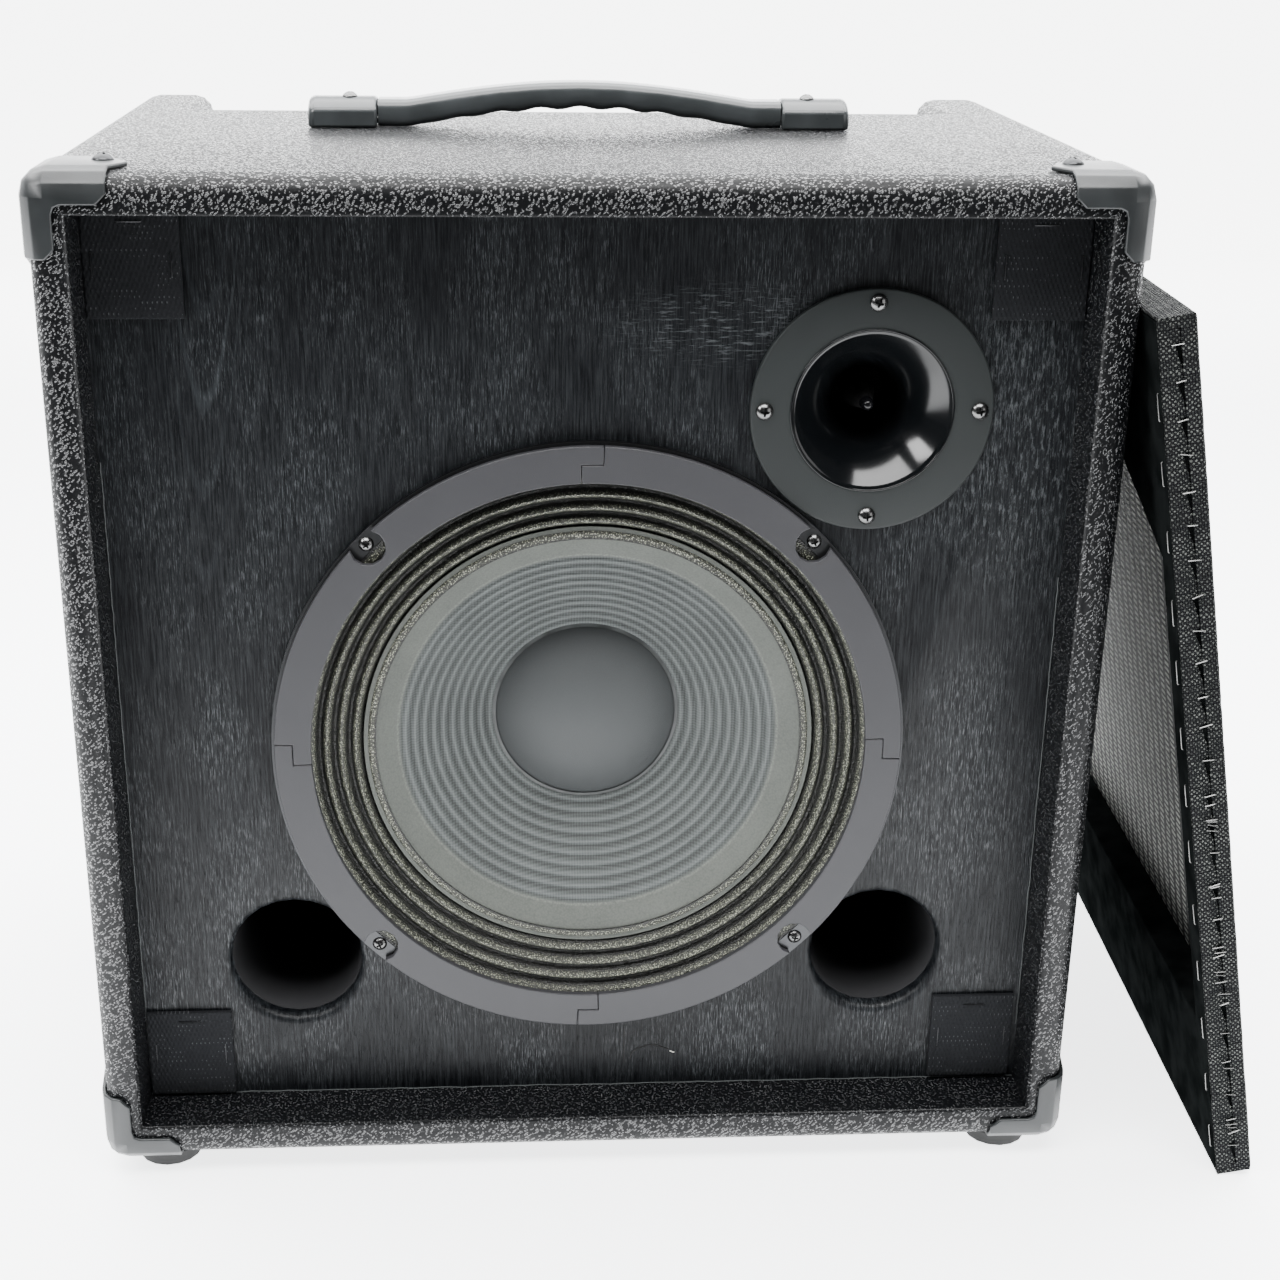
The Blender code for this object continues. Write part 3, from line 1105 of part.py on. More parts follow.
def make_circuit_board():
    """Board that carries the potentiometers and the button switches, parallel to the panel."""
    top = -BOARD_DROP
    half_pot = POT_SIZE / 2
    left = KNOB_PLACES[0] - POT_SIZE
    right = BUTTON_PLACES[-1] + POT_SIZE
    mesh = block((left, CONTROL_ROW - BOARD_MARGIN, top - CIRCUIT_BOARD),
                 (right, CONTROL_ROW + BOARD_MARGIN, top))
    board = part("circuit_board", mesh, FIBRE_BOARD, panel_frame)
    under = -PANEL_SHEET - GAP
    joined = top - CIRCUIT_BOARD / 2
    for number, place in enumerate(KNOB_PLACES):
        body = block((place - half_pot, CONTROL_ROW - half_pot, joined),
                     (place + half_pot, CONTROL_ROW + half_pot, under))
        combine(board, cutter("pot_" + str(number + 1), body, panel_frame), "UNION")
    half_switch = BUTTON_SWITCH / 2
    for number, place in enumerate(BUTTON_PLACES):
        body = block((place - half_switch, CONTROL_ROW - half_switch, joined),
                     (place + half_switch, CONTROL_ROW + half_switch, under))
        combine(board, cutter("switch_" + str(number + 1), body, panel_frame), "UNION")
    bore_floor = KNOB_CLEARANCE - SHAFT_LENGTH - PANEL_SHEET - GAP
    for number, place in enumerate(KNOB_PLACES):
        bore = prism([circle((place, CONTROL_ROW), SHAFT_RADIUS + GAP, SMALL_STEPS)], bore_floor, 0)
        combine(board, cutter("pot_bore_" + str(number + 1), bore, panel_frame), "DIFFERENCE")
    half_button = BUTTON_SIZE / 2 + GAP
    pocket_floor = -BUTTON_REACH - BUTTON_TRAVEL - 2 * GAP
    for number, place in enumerate(BUTTON_PLACES):
        pocket = block((place - half_button, CONTROL_ROW - half_button, pocket_floor),
                       (place + half_button, CONTROL_ROW + half_button, 0))
        combine(board, cutter("button_pocket_" + str(number + 1), pocket, panel_frame), "DIFFERENCE")


def make_knobs():
    """Five control knobs, each with its shaft, turning about the panel's normal."""
    low = KNOB_CLEARANCE
    tip = low - SHAFT_LENGTH - PANEL_SHEET
    profile = [(0, KNOB_HEIGHT), (KNOB_RADIUS - KNOB_EDGE, KNOB_HEIGHT), (KNOB_RADIUS, low + KNOB_SKIRT),
               (KNOB_SKIRT_RADIUS, low + KNOB_SKIRT - KNOB_EDGE), (KNOB_SKIRT_RADIUS, low),
               (SHAFT_RADIUS, low), (SHAFT_RADIUS, tip), (0, tip)]
    names = ("knob_gain", "knob_bass", "knob_middle", "knob_treble", "knob_volume")
    for name, place in zip(names, KNOB_PLACES):
        part(name, turned(profile, KNOB_STEPS), KNOB_PLASTIC, panel_frame, (place, CONTROL_ROW, 0))


def make_buttons():
    """Two push buttons that sink into their switches."""
    half = BUTTON_SIZE / 2
    for name, place in zip(("push_button_left", "push_button_right"), BUTTON_PLACES):
        mesh = rounded_block((-half, -half, -BUTTON_REACH), (half, half, BUTTON_HEIGHT),
                             BUTTON_EDGE, 1, lambda corner: corner.z > 0)
        part(name, mesh, BUTTON_PLASTIC, panel_frame, (place, CONTROL_ROW, 0))


def make_power_switch():
    """Rocker switch: a housing let into the panel and a rocker that tips in it."""
    room_width = ROCKER_WIDTH / 2 + GAP
    room_length = ROCKER_LENGTH / 2 + 3 * GAP
    body_width = room_width + HOUSING_WALL
    body_length = room_length + HOUSING_WALL
    rim_width = body_width + BEZEL_RIM
    rim_length = body_length + BEZEL_RIM
    bottom = -ROCKER_DROP - HOUSING_ROOM
    mesh = block((-rim_width, -rim_length, GAP), (rim_width, rim_length, BEZEL))
    housing = part("switch_housing", mesh, BLACK_PLASTIC, panel_frame, (ROCKER_PLACE, CONTROL_ROW, 0))
    body = block((-body_width, -body_length, bottom), (body_width, body_length, BEZEL / 2))
    combine(housing, cutter("housing_body", body, housing), "UNION")
    well = block((-room_width, -room_length, bottom + HOUSING_WALL), (room_width, room_length, FAR))
    combine(housing, cutter("housing_well", well, housing), "DIFFERENCE")
    half = ROCKER_LENGTH / 2
    heel = (half * ROCKER_HEEL[0], -ROCKER_DROP * ROCKER_HEEL[1])
    sole = half * ROCKER_SOLE
    outline = [(-half, ROCKER_RISE), (-heel[0], heel[1]), (-sole, -ROCKER_DROP),
               (sole, -ROCKER_DROP), heel, (half, ROCKER_RISE), (0, ROCKER_RISE / 2)]
    place = (ROCKER_PLACE, CONTROL_ROW, 0)
    rocker_axis = frame("rocker_axis", panel_frame, place, (ROCKER_TILT, 0, 0))
    mesh = prism([outline], -ROCKER_WIDTH / 2, ROCKER_WIDTH / 2, "YZ")
    part("rocker", mesh, BLACK_PLASTIC, rocker_axis)


def make_jack():
    """Input jack: nut above the panel, neck through it and the body with its bore below."""
    floor = -JACK_LENGTH + JACK_BORE_RADIUS
    profile = [(0, floor), (JACK_BORE_RADIUS, floor), (JACK_BORE_RADIUS, JACK_NUT),
               (JACK_NUT_RADIUS, JACK_NUT), (JACK_NUT_RADIUS, GAP), (JACK_NECK_RADIUS, GAP),
               (JACK_NECK_RADIUS, -PANEL_SHEET - GAP), (JACK_BODY_RADIUS, -PANEL_SHEET - GAP),
               (JACK_BODY_RADIUS, -JACK_LENGTH), (0, -JACK_LENGTH)]
    place = (JACK_PLACE, CONTROL_ROW, 0)
    part("input_jack", turned(profile, SMALL_STEPS), BRIGHT_METAL, panel_frame, place)


def make_di_socket():
    """Three-pin line output on the back of the chassis."""
    face = BACK_FACE + GAP
    half_width = DI_FLANGE_WIDTH / 2
    half_height = DI_FLANGE_HEIGHT / 2
    origin = (DI_PLACE, face, SOCKET_HEIGHT)
    mesh = block((-half_width, 0, -half_height), (half_width, SOCKET_FLANGE, half_height))
    socket = part("di_socket", mesh, BRIGHT_METAL, cabinet, origin)
    barrel = prism([circle((0, 0), DI_BARREL_RADIUS, MOTOR_STEPS)], -DI_DEPTH, SOCKET_FLANGE / 2, "XZ")
    combine(socket, cutter("di_barrel", barrel, socket), "UNION")
    floor = DI_FLOOR - DI_DEPTH
    bore = prism([circle((0, 0), DI_BORE_RADIUS, MOTOR_STEPS)], floor, 2 * SOCKET_FLANGE, "XZ")
    combine(socket, cutter("di_bore", bore, socket), "DIFFERENCE")
    for number, turn in enumerate(DI_PIN_TURNS):
        angle = math.radians(turn)
        centre = (DI_PIN_CIRCLE * math.cos(angle), DI_PIN_CIRCLE * math.sin(angle))
        pin = prism([circle(centre, DI_PIN_RADIUS, PIN_STEPS)], floor - DI_FLOOR / 2, -SOCKET_FLANGE, "XZ")
        combine(socket, cutter("di_pin_" + str(number + 1), pin, socket), "UNION")


def make_mains_inlet():
    """Mains inlet on the back of the chassis, with its three blades."""
    face = BACK_FACE + GAP
    half_width = INLET_FLANGE_WIDTH / 2
    half_height = INLET_FLANGE_HEIGHT / 2
    mesh = block((-half_width, 0, -half_height), (half_width, SOCKET_FLANGE, half_height))
    inlet = part("mains_inlet", mesh, BLACK_PLASTIC, cabinet, (INLET_PLACE, face, SOCKET_HEIGHT))
    body_width = INLET_BODY_WIDTH / 2
    body_height = INLET_BODY_HEIGHT / 2
    body = block((-body_width, -INLET_DEPTH, -body_height), (body_width, SOCKET_FLANGE / 2, body_height))
    combine(inlet, cutter("inlet_body", body, inlet), "UNION")
    floor = INLET_FLOOR - INLET_DEPTH
    room_width = body_width - INLET_WALL
    room_height = body_height - INLET_WALL
    room = block((-room_width, floor, -room_height), (room_width, 2 * SOCKET_FLANGE, room_height))
    combine(inlet, cutter("inlet_room", room, inlet), "DIFFERENCE")
    for number, column in enumerate((-1, 0, 1)):
        across = column * INLET_BLADE_PITCH
        lift = INLET_BLADE_WIDTH / 2 if column == 0 else -INLET_BLADE_WIDTH / 2
        blade = block((across - INLET_BLADE / 2, floor - INLET_FLOOR / 2, lift - INLET_BLADE_WIDTH / 2),
                      (across + INLET_BLADE / 2, -SOCKET_FLANGE, lift + INLET_BLADE_WIDTH / 2))
        combine(inlet, cutter("inlet_blade_" + str(number + 1), blade, inlet), "UNION")


def make_inside():
    """Mains transformer and the power stage's heatsink, both on the floor of the tray."""
    floor = CHASSIS_BOTTOM + SHEET + GAP
    front = CHASSIS_FRONT + SHEET + INSIDE_FROM_FRONT
    half = TRANSFORMER_WIDTH / 2
    middle = front + TRANSFORMER_COIL_DEPTH / 2
    core = block((-half, -TRANSFORMER_CORE / 2, 0), (half, TRANSFORMER_CORE / 2, TRANSFORMER_HEIGHT))
    transformer = part("mains_transformer", core, FERRITE, cabinet, (TRANSFORMER_SIDE, middle, floor))
    low = (TRANSFORMER_HEIGHT - TRANSFORMER_COIL_HEIGHT) / 2
    coil = block((-TRANSFORMER_COIL_WIDTH / 2, -TRANSFORMER_COIL_DEPTH / 2, low),
                 (TRANSFORMER_COIL_WIDTH / 2, TRANSFORMER_COIL_DEPTH / 2, low + TRANSFORMER_COIL_HEIGHT))
    combine(transformer, cutter("transformer_winding", coil, transformer), "UNION")

    width = HEATSINK_PITCH * (HEATSINK_FINS - 1) + HEATSINK_FIN
    outline = [(width / 2, 0), (-width / 2, 0)]
    for fin in range(HEATSINK_FINS):
        left = fin * HEATSINK_PITCH - width / 2
        if fin > 0:
            outline.append((left, HEATSINK_BASE))
        outline += [(left, HEATSINK_HEIGHT), (left + HEATSINK_FIN, HEATSINK_HEIGHT)]
        if fin < HEATSINK_FINS - 1:
            outline.append((left + HEATSINK_FIN, HEATSINK_BASE))
    mesh = prism([outline], 0, HEATSINK_DEPTH, "XZ")
    part("heatsink", mesh, SHEET_STEEL, cabinet, (HEATSINK_SIDE, front, floor))


def make_grille():
    """Grille frame of one board with its opening, and the cloth that wraps its front and edges."""
    grille_frame = frame("grille_frame_axes", cabinet)
    grille_frame.matrix_local = grille_placement()
    edge = GRILLE_CLOTH + GAP
    far = GRILLE_SIZE - GRILLE_STILE
    top = GRILLE_SIZE - GRILLE_TOP_RAIL
    opening = [(GRILLE_STILE, GRILLE_BOTTOM_RAIL), (far, GRILLE_BOTTOM_RAIL),
               (far, top - GRILLE_CUT_HEIGHT), (far - GRILLE_CUT_WIDTH, top),
               (GRILLE_STILE + GRILLE_CUT_WIDTH, top), (GRILLE_STILE, top - GRILLE_CUT_HEIGHT)]
    outline = rectangle((edge, edge), (GRILLE_SIZE - edge, GRILLE_SIZE - edge))
    board = GRILLE_THICKNESS - edge
    part("grille_frame", prism([outline, opening], 0, board), GRILLE_WOOD, grille_frame)
    tray = block((0, 0, 0), (GRILLE_SIZE, GRILLE_SIZE, GRILLE_THICKNESS))
    cloth = part("grille_cloth", tray, SPEAKER_CLOTH, grille_frame)
    low = GRILLE_CLOTH
    high = GRILLE_SIZE - GRILLE_CLOTH
    room = block((low, low, -GRILLE_THICKNESS), (high, high, GRILLE_THICKNESS - GRILLE_CLOTH))
    combine(cloth, cutter("cloth_inside", room, grille_frame), "DIFFERENCE")


make_covering()
make_boards()
make_baffle()
make_protectors()
make_feet()
make_handle()
make_basket()
make_gasket()
make_surround()
make_cone()
make_spider()
make_motor()
make_horn()
make_ports()
make_pads()
make_chassis()
make_control_panel()
make_circuit_board()
make_knobs()
make_buttons()
make_power_switch()
make_jack()
make_di_socket()
make_mains_inlet()
make_inside()
make_grille()
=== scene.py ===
# %% [markdown]
# # A bass combo amplifier with its grille taken off
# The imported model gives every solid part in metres, so this script only dresses it. Each CAD node
# either keeps its place and gets a better finish, or is hidden behind a finer piece that stands
# for it. Everything below is measured from the cabinet: x from its middle, y from its front,
# z from its underside.

# %% Load the frame
import json
import math
import random

import bmesh
import bpy
from mathutils import Matrix, Vector, noise

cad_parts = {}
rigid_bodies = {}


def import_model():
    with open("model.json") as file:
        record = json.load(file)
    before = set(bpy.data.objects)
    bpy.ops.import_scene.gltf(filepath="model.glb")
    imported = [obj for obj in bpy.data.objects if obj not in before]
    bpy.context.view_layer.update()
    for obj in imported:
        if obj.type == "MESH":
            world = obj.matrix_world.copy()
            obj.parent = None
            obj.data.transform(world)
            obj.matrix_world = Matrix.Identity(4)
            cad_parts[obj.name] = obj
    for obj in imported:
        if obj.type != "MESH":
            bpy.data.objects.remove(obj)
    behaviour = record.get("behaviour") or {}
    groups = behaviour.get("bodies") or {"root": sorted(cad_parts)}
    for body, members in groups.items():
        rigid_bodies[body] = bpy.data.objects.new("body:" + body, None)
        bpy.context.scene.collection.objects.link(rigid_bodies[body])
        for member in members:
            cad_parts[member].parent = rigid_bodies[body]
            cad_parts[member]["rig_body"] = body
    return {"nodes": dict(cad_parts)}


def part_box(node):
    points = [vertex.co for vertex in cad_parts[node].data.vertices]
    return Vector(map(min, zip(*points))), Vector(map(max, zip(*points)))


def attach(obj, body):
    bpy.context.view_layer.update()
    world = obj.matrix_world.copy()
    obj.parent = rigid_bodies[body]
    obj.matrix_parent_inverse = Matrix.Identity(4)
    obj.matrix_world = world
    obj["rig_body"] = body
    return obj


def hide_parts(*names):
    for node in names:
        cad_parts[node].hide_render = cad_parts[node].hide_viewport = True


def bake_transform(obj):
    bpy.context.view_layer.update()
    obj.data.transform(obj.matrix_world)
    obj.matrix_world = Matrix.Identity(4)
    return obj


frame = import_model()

noise.seed_set(5)  # without a seed, noise_vector differs from run to run

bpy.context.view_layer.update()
cabinet_low, cabinet_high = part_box("vinyl_covering")
MIDDLE = (cabinet_low.x + cabinet_high.x) / 2
FRONT = cabinet_low.y
BASE = cabinet_low.z
HALF_WIDTH = (cabinet_high.x - cabinet_low.x) / 2
HEIGHT = cabinet_high.z - cabinet_low.z
DEPTH = cabinet_high.y - cabinet_low.y
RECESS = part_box("baffle_board")[0].y - FRONT
MM = 0.001


def at(x, y, z):
    """A place given from the cabinet's middle, front and underside."""
    return Vector((MIDDLE + x, FRONT + y, BASE + z))


print("cabinet", [round(size, 4) for size in (2 * HALF_WIDTH, DEPTH, HEIGHT)])
print("baffle in by", round(RECESS, 4))

# %% [markdown]
# ## The camera
# The photograph was taken from above and a little to the left, and its frame isn't centred on the
# lens's own axis. A real view camera does that by sliding the film, and Blender's camera does it
# with shift. The focal length is kept in pixels of the picture, because that is how it was solved.

# %% Set up the camera
PICTURE = 1280
FOCAL = 2049.27
LENS_AXIS_PIXEL = (615.89, 694.43)
SENSOR = 36.0
EYE = at(-0.0464, -0.9035, 0.6134)
TURN = math.radians(3.6135)
DIP = math.radians(21.6442)
ROLL = math.radians(0.7343)

forward = Vector((math.sin(TURN) * math.cos(DIP), math.cos(TURN) * math.cos(DIP), -math.sin(DIP)))
level = Vector((math.cos(TURN), -math.sin(TURN), 0.0))
upright = level.cross(forward)
across = level * math.cos(ROLL) + upright * math.sin(ROLL)
upward = upright * math.cos(ROLL) - level * math.sin(ROLL)
camera = bpy.data.objects.new("camera", bpy.data.cameras.new("camera"))
bpy.context.scene.collection.objects.link(camera)
bpy.context.scene.camera = camera
camera.data.sensor_width = SENSOR
camera.data.lens = FOCAL * SENSOR / PICTURE
camera.data.shift_x = (PICTURE / 2 - LENS_AXIS_PIXEL[0]) / PICTURE
camera.data.shift_y = (LENS_AXIS_PIXEL[1] - PICTURE / 2) / PICTURE
axes = Matrix((across, upward, -forward)).transposed().to_4x4()
axes.translation = EYE
camera.matrix_world = axes
shift = (camera.data.shift_x, camera.data.shift_y)
print("lens", round(camera.data.lens, 1), "mm, shift", [round(part, 3) for part in shift])

# %% [markdown]
# ## Light and floor
# The amplifier stands on white paper with a bright wall of light behind it, which is why the edges of
# its top shine while its front stays dark. One long softbox hangs over the cabinet and one high in
# front of it, and the paper throws their light back up and glows with painted light of its own. A
# window at the right fills the cone, and a small high lamp at the left gives the horn its highlights.

# %% Light the studio
BACK_LIGHT = 3.5
FRONT_LIGHT = 0.10
SKY_WHITE = (0.96, 0.98, 1.0, 1.0)


def softbox(name, place, aim, size, power):
    """A soft lamp of a given width and height that looks at a place."""
    lamp = bpy.data.lights.new(name, "AREA")
    lamp.shape = "RECTANGLE"
    lamp.size = size[0]
    lamp.size_y = size[1]
    lamp.energy = power
    holder = bpy.data.objects.new(name, lamp)
    bpy.context.scene.collection.objects.link(holder)
    holder.location = place
    holder.rotation_euler = (aim - place).to_track_quat("-Z", "Y").to_euler()


target = at(0, 0.1, 0.25)
horn_mouth = at(0.1315, RECESS, 0.3837)
softbox("rear_softbox", at(0.0, 2.6, 1.0), at(0, 0.2, 0.5), (3.6, 0.7), 70)
softbox("top_softbox", at(0.0, 0.55, 1.5), at(0.0, 0.45, 0.0), (3.0, 1.2), 130)
softbox("front_softbox", at(0.0, -0.70, 2.0), at(0.0, -0.2, 0.3), (1.8, 0.8), 84)
softbox("right_window", at(1.7, -1.1, 0.7), target, (1.0, 1.1), 9)
softbox("left_window", horn_mouth + 1.6 * Vector((-0.77, -0.36, 0.53)), horn_mouth, (0.45, 0.45), 17)

world = bpy.data.worlds.new("studio")
bpy.context.scene.world = world
world.use_nodes = True
sky = world.node_tree
direction = sky.nodes.new("ShaderNodeTexCoord")
parts = sky.nodes.new("ShaderNodeSeparateXYZ")
sky.links.new(direction.outputs["Generated"], parts.inputs[0])
spread = sky.nodes.new("ShaderNodeMapRange")
spread.interpolation_type = "SMOOTHSTEP"
sky.links.new(parts.outputs["Y"], spread.inputs["Value"])
limits = {"From Min": -0.15, "From Max": 0.75, "To Min": FRONT_LIGHT, "To Max": BACK_LIGHT}
for limit, value in limits.items():
    spread.inputs[limit].default_value = value
backdrop = sky.nodes["Background"]
backdrop.inputs["Color"].default_value = SKY_WHITE
sky.links.new(spread.outputs["Result"], backdrop.inputs["Strength"])
print("lamps", len(bpy.data.lights), "and a sky of", FRONT_LIGHT, "in front and", BACK_LIGHT, "behind")

# %% [markdown]
# ## Sums with sockets
# A finish is a small program: noise, cells and masks that end in colour, roughness and height.
# Wiring Math nodes by hand hides the sum, so this class wraps a socket and lets Python's own
# operators add the nodes.

# %% Write shader maths in Python
class Value:
    """A number, colour or vector that changes over a surface."""

    def __init__(self, finish, socket):
        self.finish = finish
        self.socket = socket

    def sum(self, operation, first, second=0.0):
        made = self.finish.node("ShaderNodeMath", {"operation": operation}, [first, second])
        return Value(self.finish, made.outputs[0])

    def __add__(self, other):
        return self.sum("ADD", self, other)

    def __sub__(self, other):
        return self.sum("SUBTRACT", self, other)

    def __rsub__(self, other):
        return self.sum("SUBTRACT", other, self)

    def __mul__(self, other):
        return self.sum("MULTIPLY", self, other)

    def __pow__(self, other):
        return self.sum("POWER", self, other)

    __radd__ = __add__
    __rmul__ = __mul__

    def size(self):
        return self.sum("ABSOLUTE", self)

    def wave(self):
        return self.sum("SINE", self)

    def most(self, other):
        return self.sum("MAXIMUM", self, other)

    def over(self, low, high):
        """0 up to low, 1 from high on, and a soft step between them."""
        limits = {"From Min": low, "From Max": high, "Value": self}
        made = self.finish.node("ShaderNodeMapRange", {"interpolation_type": "SMOOTHSTEP"}, limits)
        return Value(self.finish, made.outputs[0])


def tools_of(kind):
    """The names of a class's own methods."""
    return [name for name in vars(kind) if not name.startswith("_")]


print("sums with sockets:", *tools_of(Value))

# %% [markdown]
# ## What every finish needs
# Each surface is built from the same few things: a pattern whose size is in millimetres, a mask
# round a place, a blend of two colours, and relief. Node groups could hold them, but plain nodes
# are easier for an exporter to follow, so each is a short method that adds its nodes. One method
# makes any node, and the others only say what goes in.

# %% Wrap a material
METRE = 1000


class Finish:
    """A material with its shader, and the few ways in which the finishes here are made."""

    def __init__(self, name, colour=(0.5, 0.5, 0.5), roughness=0.5, metallic=0.0, shine=0.22):
        self.material = bpy.data.materials.new(name)
        self.material.use_nodes = True
        self.tree = self.material.node_tree
        self.shader = self.tree.nodes["Principled BSDF"]
        self.give("Base Color", (*colour, 1.0))
        self.give("Roughness", roughness)
        self.give("Metallic", metallic)
        self.give("Specular IOR Level", shine if metallic == 0.0 else 0.5)
        self.last_bump = None

    def node(self, kind, settings=None, inputs=()):
        """Any node: its settings first, then the values or links of its sockets."""
        made = self.tree.nodes.new(kind)
        for setting, value in (settings or {}).items():
            setattr(made, setting, value)
        pairs = inputs.items() if isinstance(inputs, dict) else enumerate(inputs)
        for key, value in pairs:
            self.feed(made.inputs[key], value)
        return made

    def feed(self, socket, value):
        if isinstance(value, Value):
            self.tree.links.new(value.socket, socket)
        else:
            socket.default_value = value

    def give(self, socket, value):
        """Sets or feeds a socket of the shader."""
        self.feed(self.shader.inputs[socket], value)

    def mix_in(self, other, share):
        """Blends the shader with a second one, for a surface that is glossy in some places only."""
        inputs = [share, Value(self, self.shader.outputs[0]), Value(self, other.outputs[0])]
        mixed = self.node("ShaderNodeMixShader", None, inputs)
        self.tree.links.new(mixed.outputs[0], self.tree.nodes["Material Output"].inputs["Surface"])

    def ruler(self, size, turn=(0, 0, 0), centre=(0, 0, 0), source="Object"):
        """Coordinates that count in steps of a size, in millimetres, along turned axes."""
        sides = size if isinstance(size, tuple) else (size, size, size)
        place = self.node("ShaderNodeTexCoord")
        inputs = {"Vector": Value(self, place.outputs[source]), "Location": centre,
                  "Rotation": turn, "Scale": [side * MM for side in sides]}
        made = self.node("ShaderNodeMapping", {"vector_type": "TEXTURE"}, inputs)
        return Value(self, made.outputs[0])

    def part_of(self, vector, axis):
        made = self.node("ShaderNodeSeparateXYZ", None, [vector])
        return Value(self, made.outputs[axis])

    def ripple(self, vector, axis, rate=math.pi):
        """A wave along one axis, which crosses zero at every step of the ruler."""
        return (self.part_of(vector, axis) * rate).wave()

    def mottle(self, size, detail=2.0, roughness=0.5, source="Object"):
        """Cloudy noise whose patches have a size in millimetres."""
        inputs = {"Vector": self.ruler(size, source=source), "Scale": 1.0, "Detail": detail,
                  "Roughness": roughness}
        made = self.node("ShaderNodeTexNoise", None, inputs)
        return Value(self, made.outputs[0])

    def cells(self, vector):
        """Distance to the nearest of many scattered points."""
        made = self.node("ShaderNodeTexVoronoi", {"feature": "F1"}, {"Vector": vector, "Scale": 1.0})
        return Value(self, made.outputs["Distance"])

    def shifted(self, vector, amount, size):
        """A vector pushed about by noise, so that a regular pattern wanders."""
        push = self.node("ShaderNodeTexNoise", None, {"Vector": vector, "Scale": size, "Detail": 1.0})
        scaled = self.node("ShaderNodeVectorMath", {"operation": "SCALE"},
                           {0: Value(self, push.outputs[1]), "Scale": amount})
        moved = self.node("ShaderNodeVectorMath", {"operation": "ADD"},
                          [vector, Value(self, scaled.outputs[0])])
        return Value(self, moved.outputs[0])

    def blend(self, mask, low, high):
        """One colour where the mask is 0 and another where it is 1."""
        first, second = [(*each, 1.0) if isinstance(each, tuple) else each for each in (low, high)]
        made = self.node("ShaderNodeMix", {"data_type": "RGBA"}, {0: mask, 6: first, 7: second})
        return Value(self, made.outputs[2])

    def away(self, centre, reach):
        """Distance from a centre, counted in steps of a size."""
        steps = self.ruler(reach, centre=centre)
        made = self.node("ShaderNodeVectorMath", {"operation": "LENGTH"}, [steps])
        return Value(self, made.outputs["Value"])

    def off_axis(self, centre):
        """Distance in metres from the line that runs through a centre from front to back."""
        return self.away(centre, (METRE, 1000 * METRE, METRE))

    def near(self, centre, reach):
        """1 in the middle of an oval patch, fading to 0 round it."""
        return 1.0 - self.away(centre, reach).over(0.4, 1.3)

    def emboss(self, height, depth):
        """Adds relief of a depth in millimetres. Each relief rides on the one before."""
        inputs = {"Height": height, "Distance": depth * MM, "Strength": 1.0}
        if self.last_bump is not None:
            inputs["Normal"] = self.last_bump
        made = self.node("ShaderNodeBump", None, inputs)
        self.last_bump = Value(self, made.outputs[0])
        self.give("Normal", self.last_bump)


print("tools of a finish:", *tools_of(Finish))

# %% [markdown]
# ## The vinyl
# The vinyl is embossed with short raised strokes that lean both ways, like a coarse leather. Two
# sets of stretched cells, turned against each other, give that. The strokes' tops are polished by
# handling and glint, while the hollows between them stay dull. One shader for both laid a grey veil
# over the hollows, so there are two, and the relief chooses between them.

# %% Emboss the vinyl
def vinyl_finish():
    vinyl = Finish("embossed_vinyl", roughness=0.8, shine=0.05)
    leaning = vinyl.ruler((1.5, 1.5, 4.2), (0.62, 0.75, 0.35))
    crossing = vinyl.ruler((1.5, 1.5, 4.2), (-0.70, -0.80, 2.2))
    strokes = 1.0 - vinyl.cells(vinyl.shifted(leaning, 0.5, 0.6))
    across_strokes = 1.0 - vinyl.cells(vinyl.shifted(crossing, 0.5, 0.6))
    relief = strokes.most(across_strokes * 0.95).over(0.42, 0.88)
    vinyl.emboss(relief, 1.0)
    wear = vinyl.mottle(35, 3.0)
    film = {"Coat Weight": 0.30, "Coat Roughness": 0.35}
    # The hollows get a darker base colour than the strokes' tops (0.0012 against 0.008): painted shade
    # in the hollows.
    for socket, value in {"Base Color": (0.0012, 0.0014, 0.0020, 1.0), **film}.items():
        vinyl.give(socket, value)
    gloss = {"Base Color": (0.008, 0.009, 0.011, 1.0), "Roughness": 0.20 + (wear - 0.5) * 0.10,
             "Specular IOR Level": 0.8, "Normal": vinyl.last_bump, **film}
    ridges = vinyl.node("ShaderNodeBsdfPrincipled", None, gloss)
    vinyl.mix_in(ridges, relief.over(0.30, 0.70))
    return vinyl


VINYL = vinyl_finish()
print("vinyl from", len(VINYL.tree.nodes), "nodes")

# %% [markdown]
# ## The painted baffle
# A rotary-cut face has long pores and broken streaks, and where the cut meets the heartwood its
# rings open in an arch. Thin black paint sinks in the pores and lies matt on them, while the hard
# grain between stays satin. A photograph of wood would tile, so stretched noise draws the grain,
# and two worn places get scuffs of their own.

# %% Paint the wood
ARCH_TOP = at(-0.1777, RECESS, 0.389)
ARCH_BEND = 316.0
SCUFFED = (at(0.203, RECESS, 0.375), (48, METRE, 85))
RUBBED = (at(0.062, RECESS, 0.424), (52, METRE, 19))


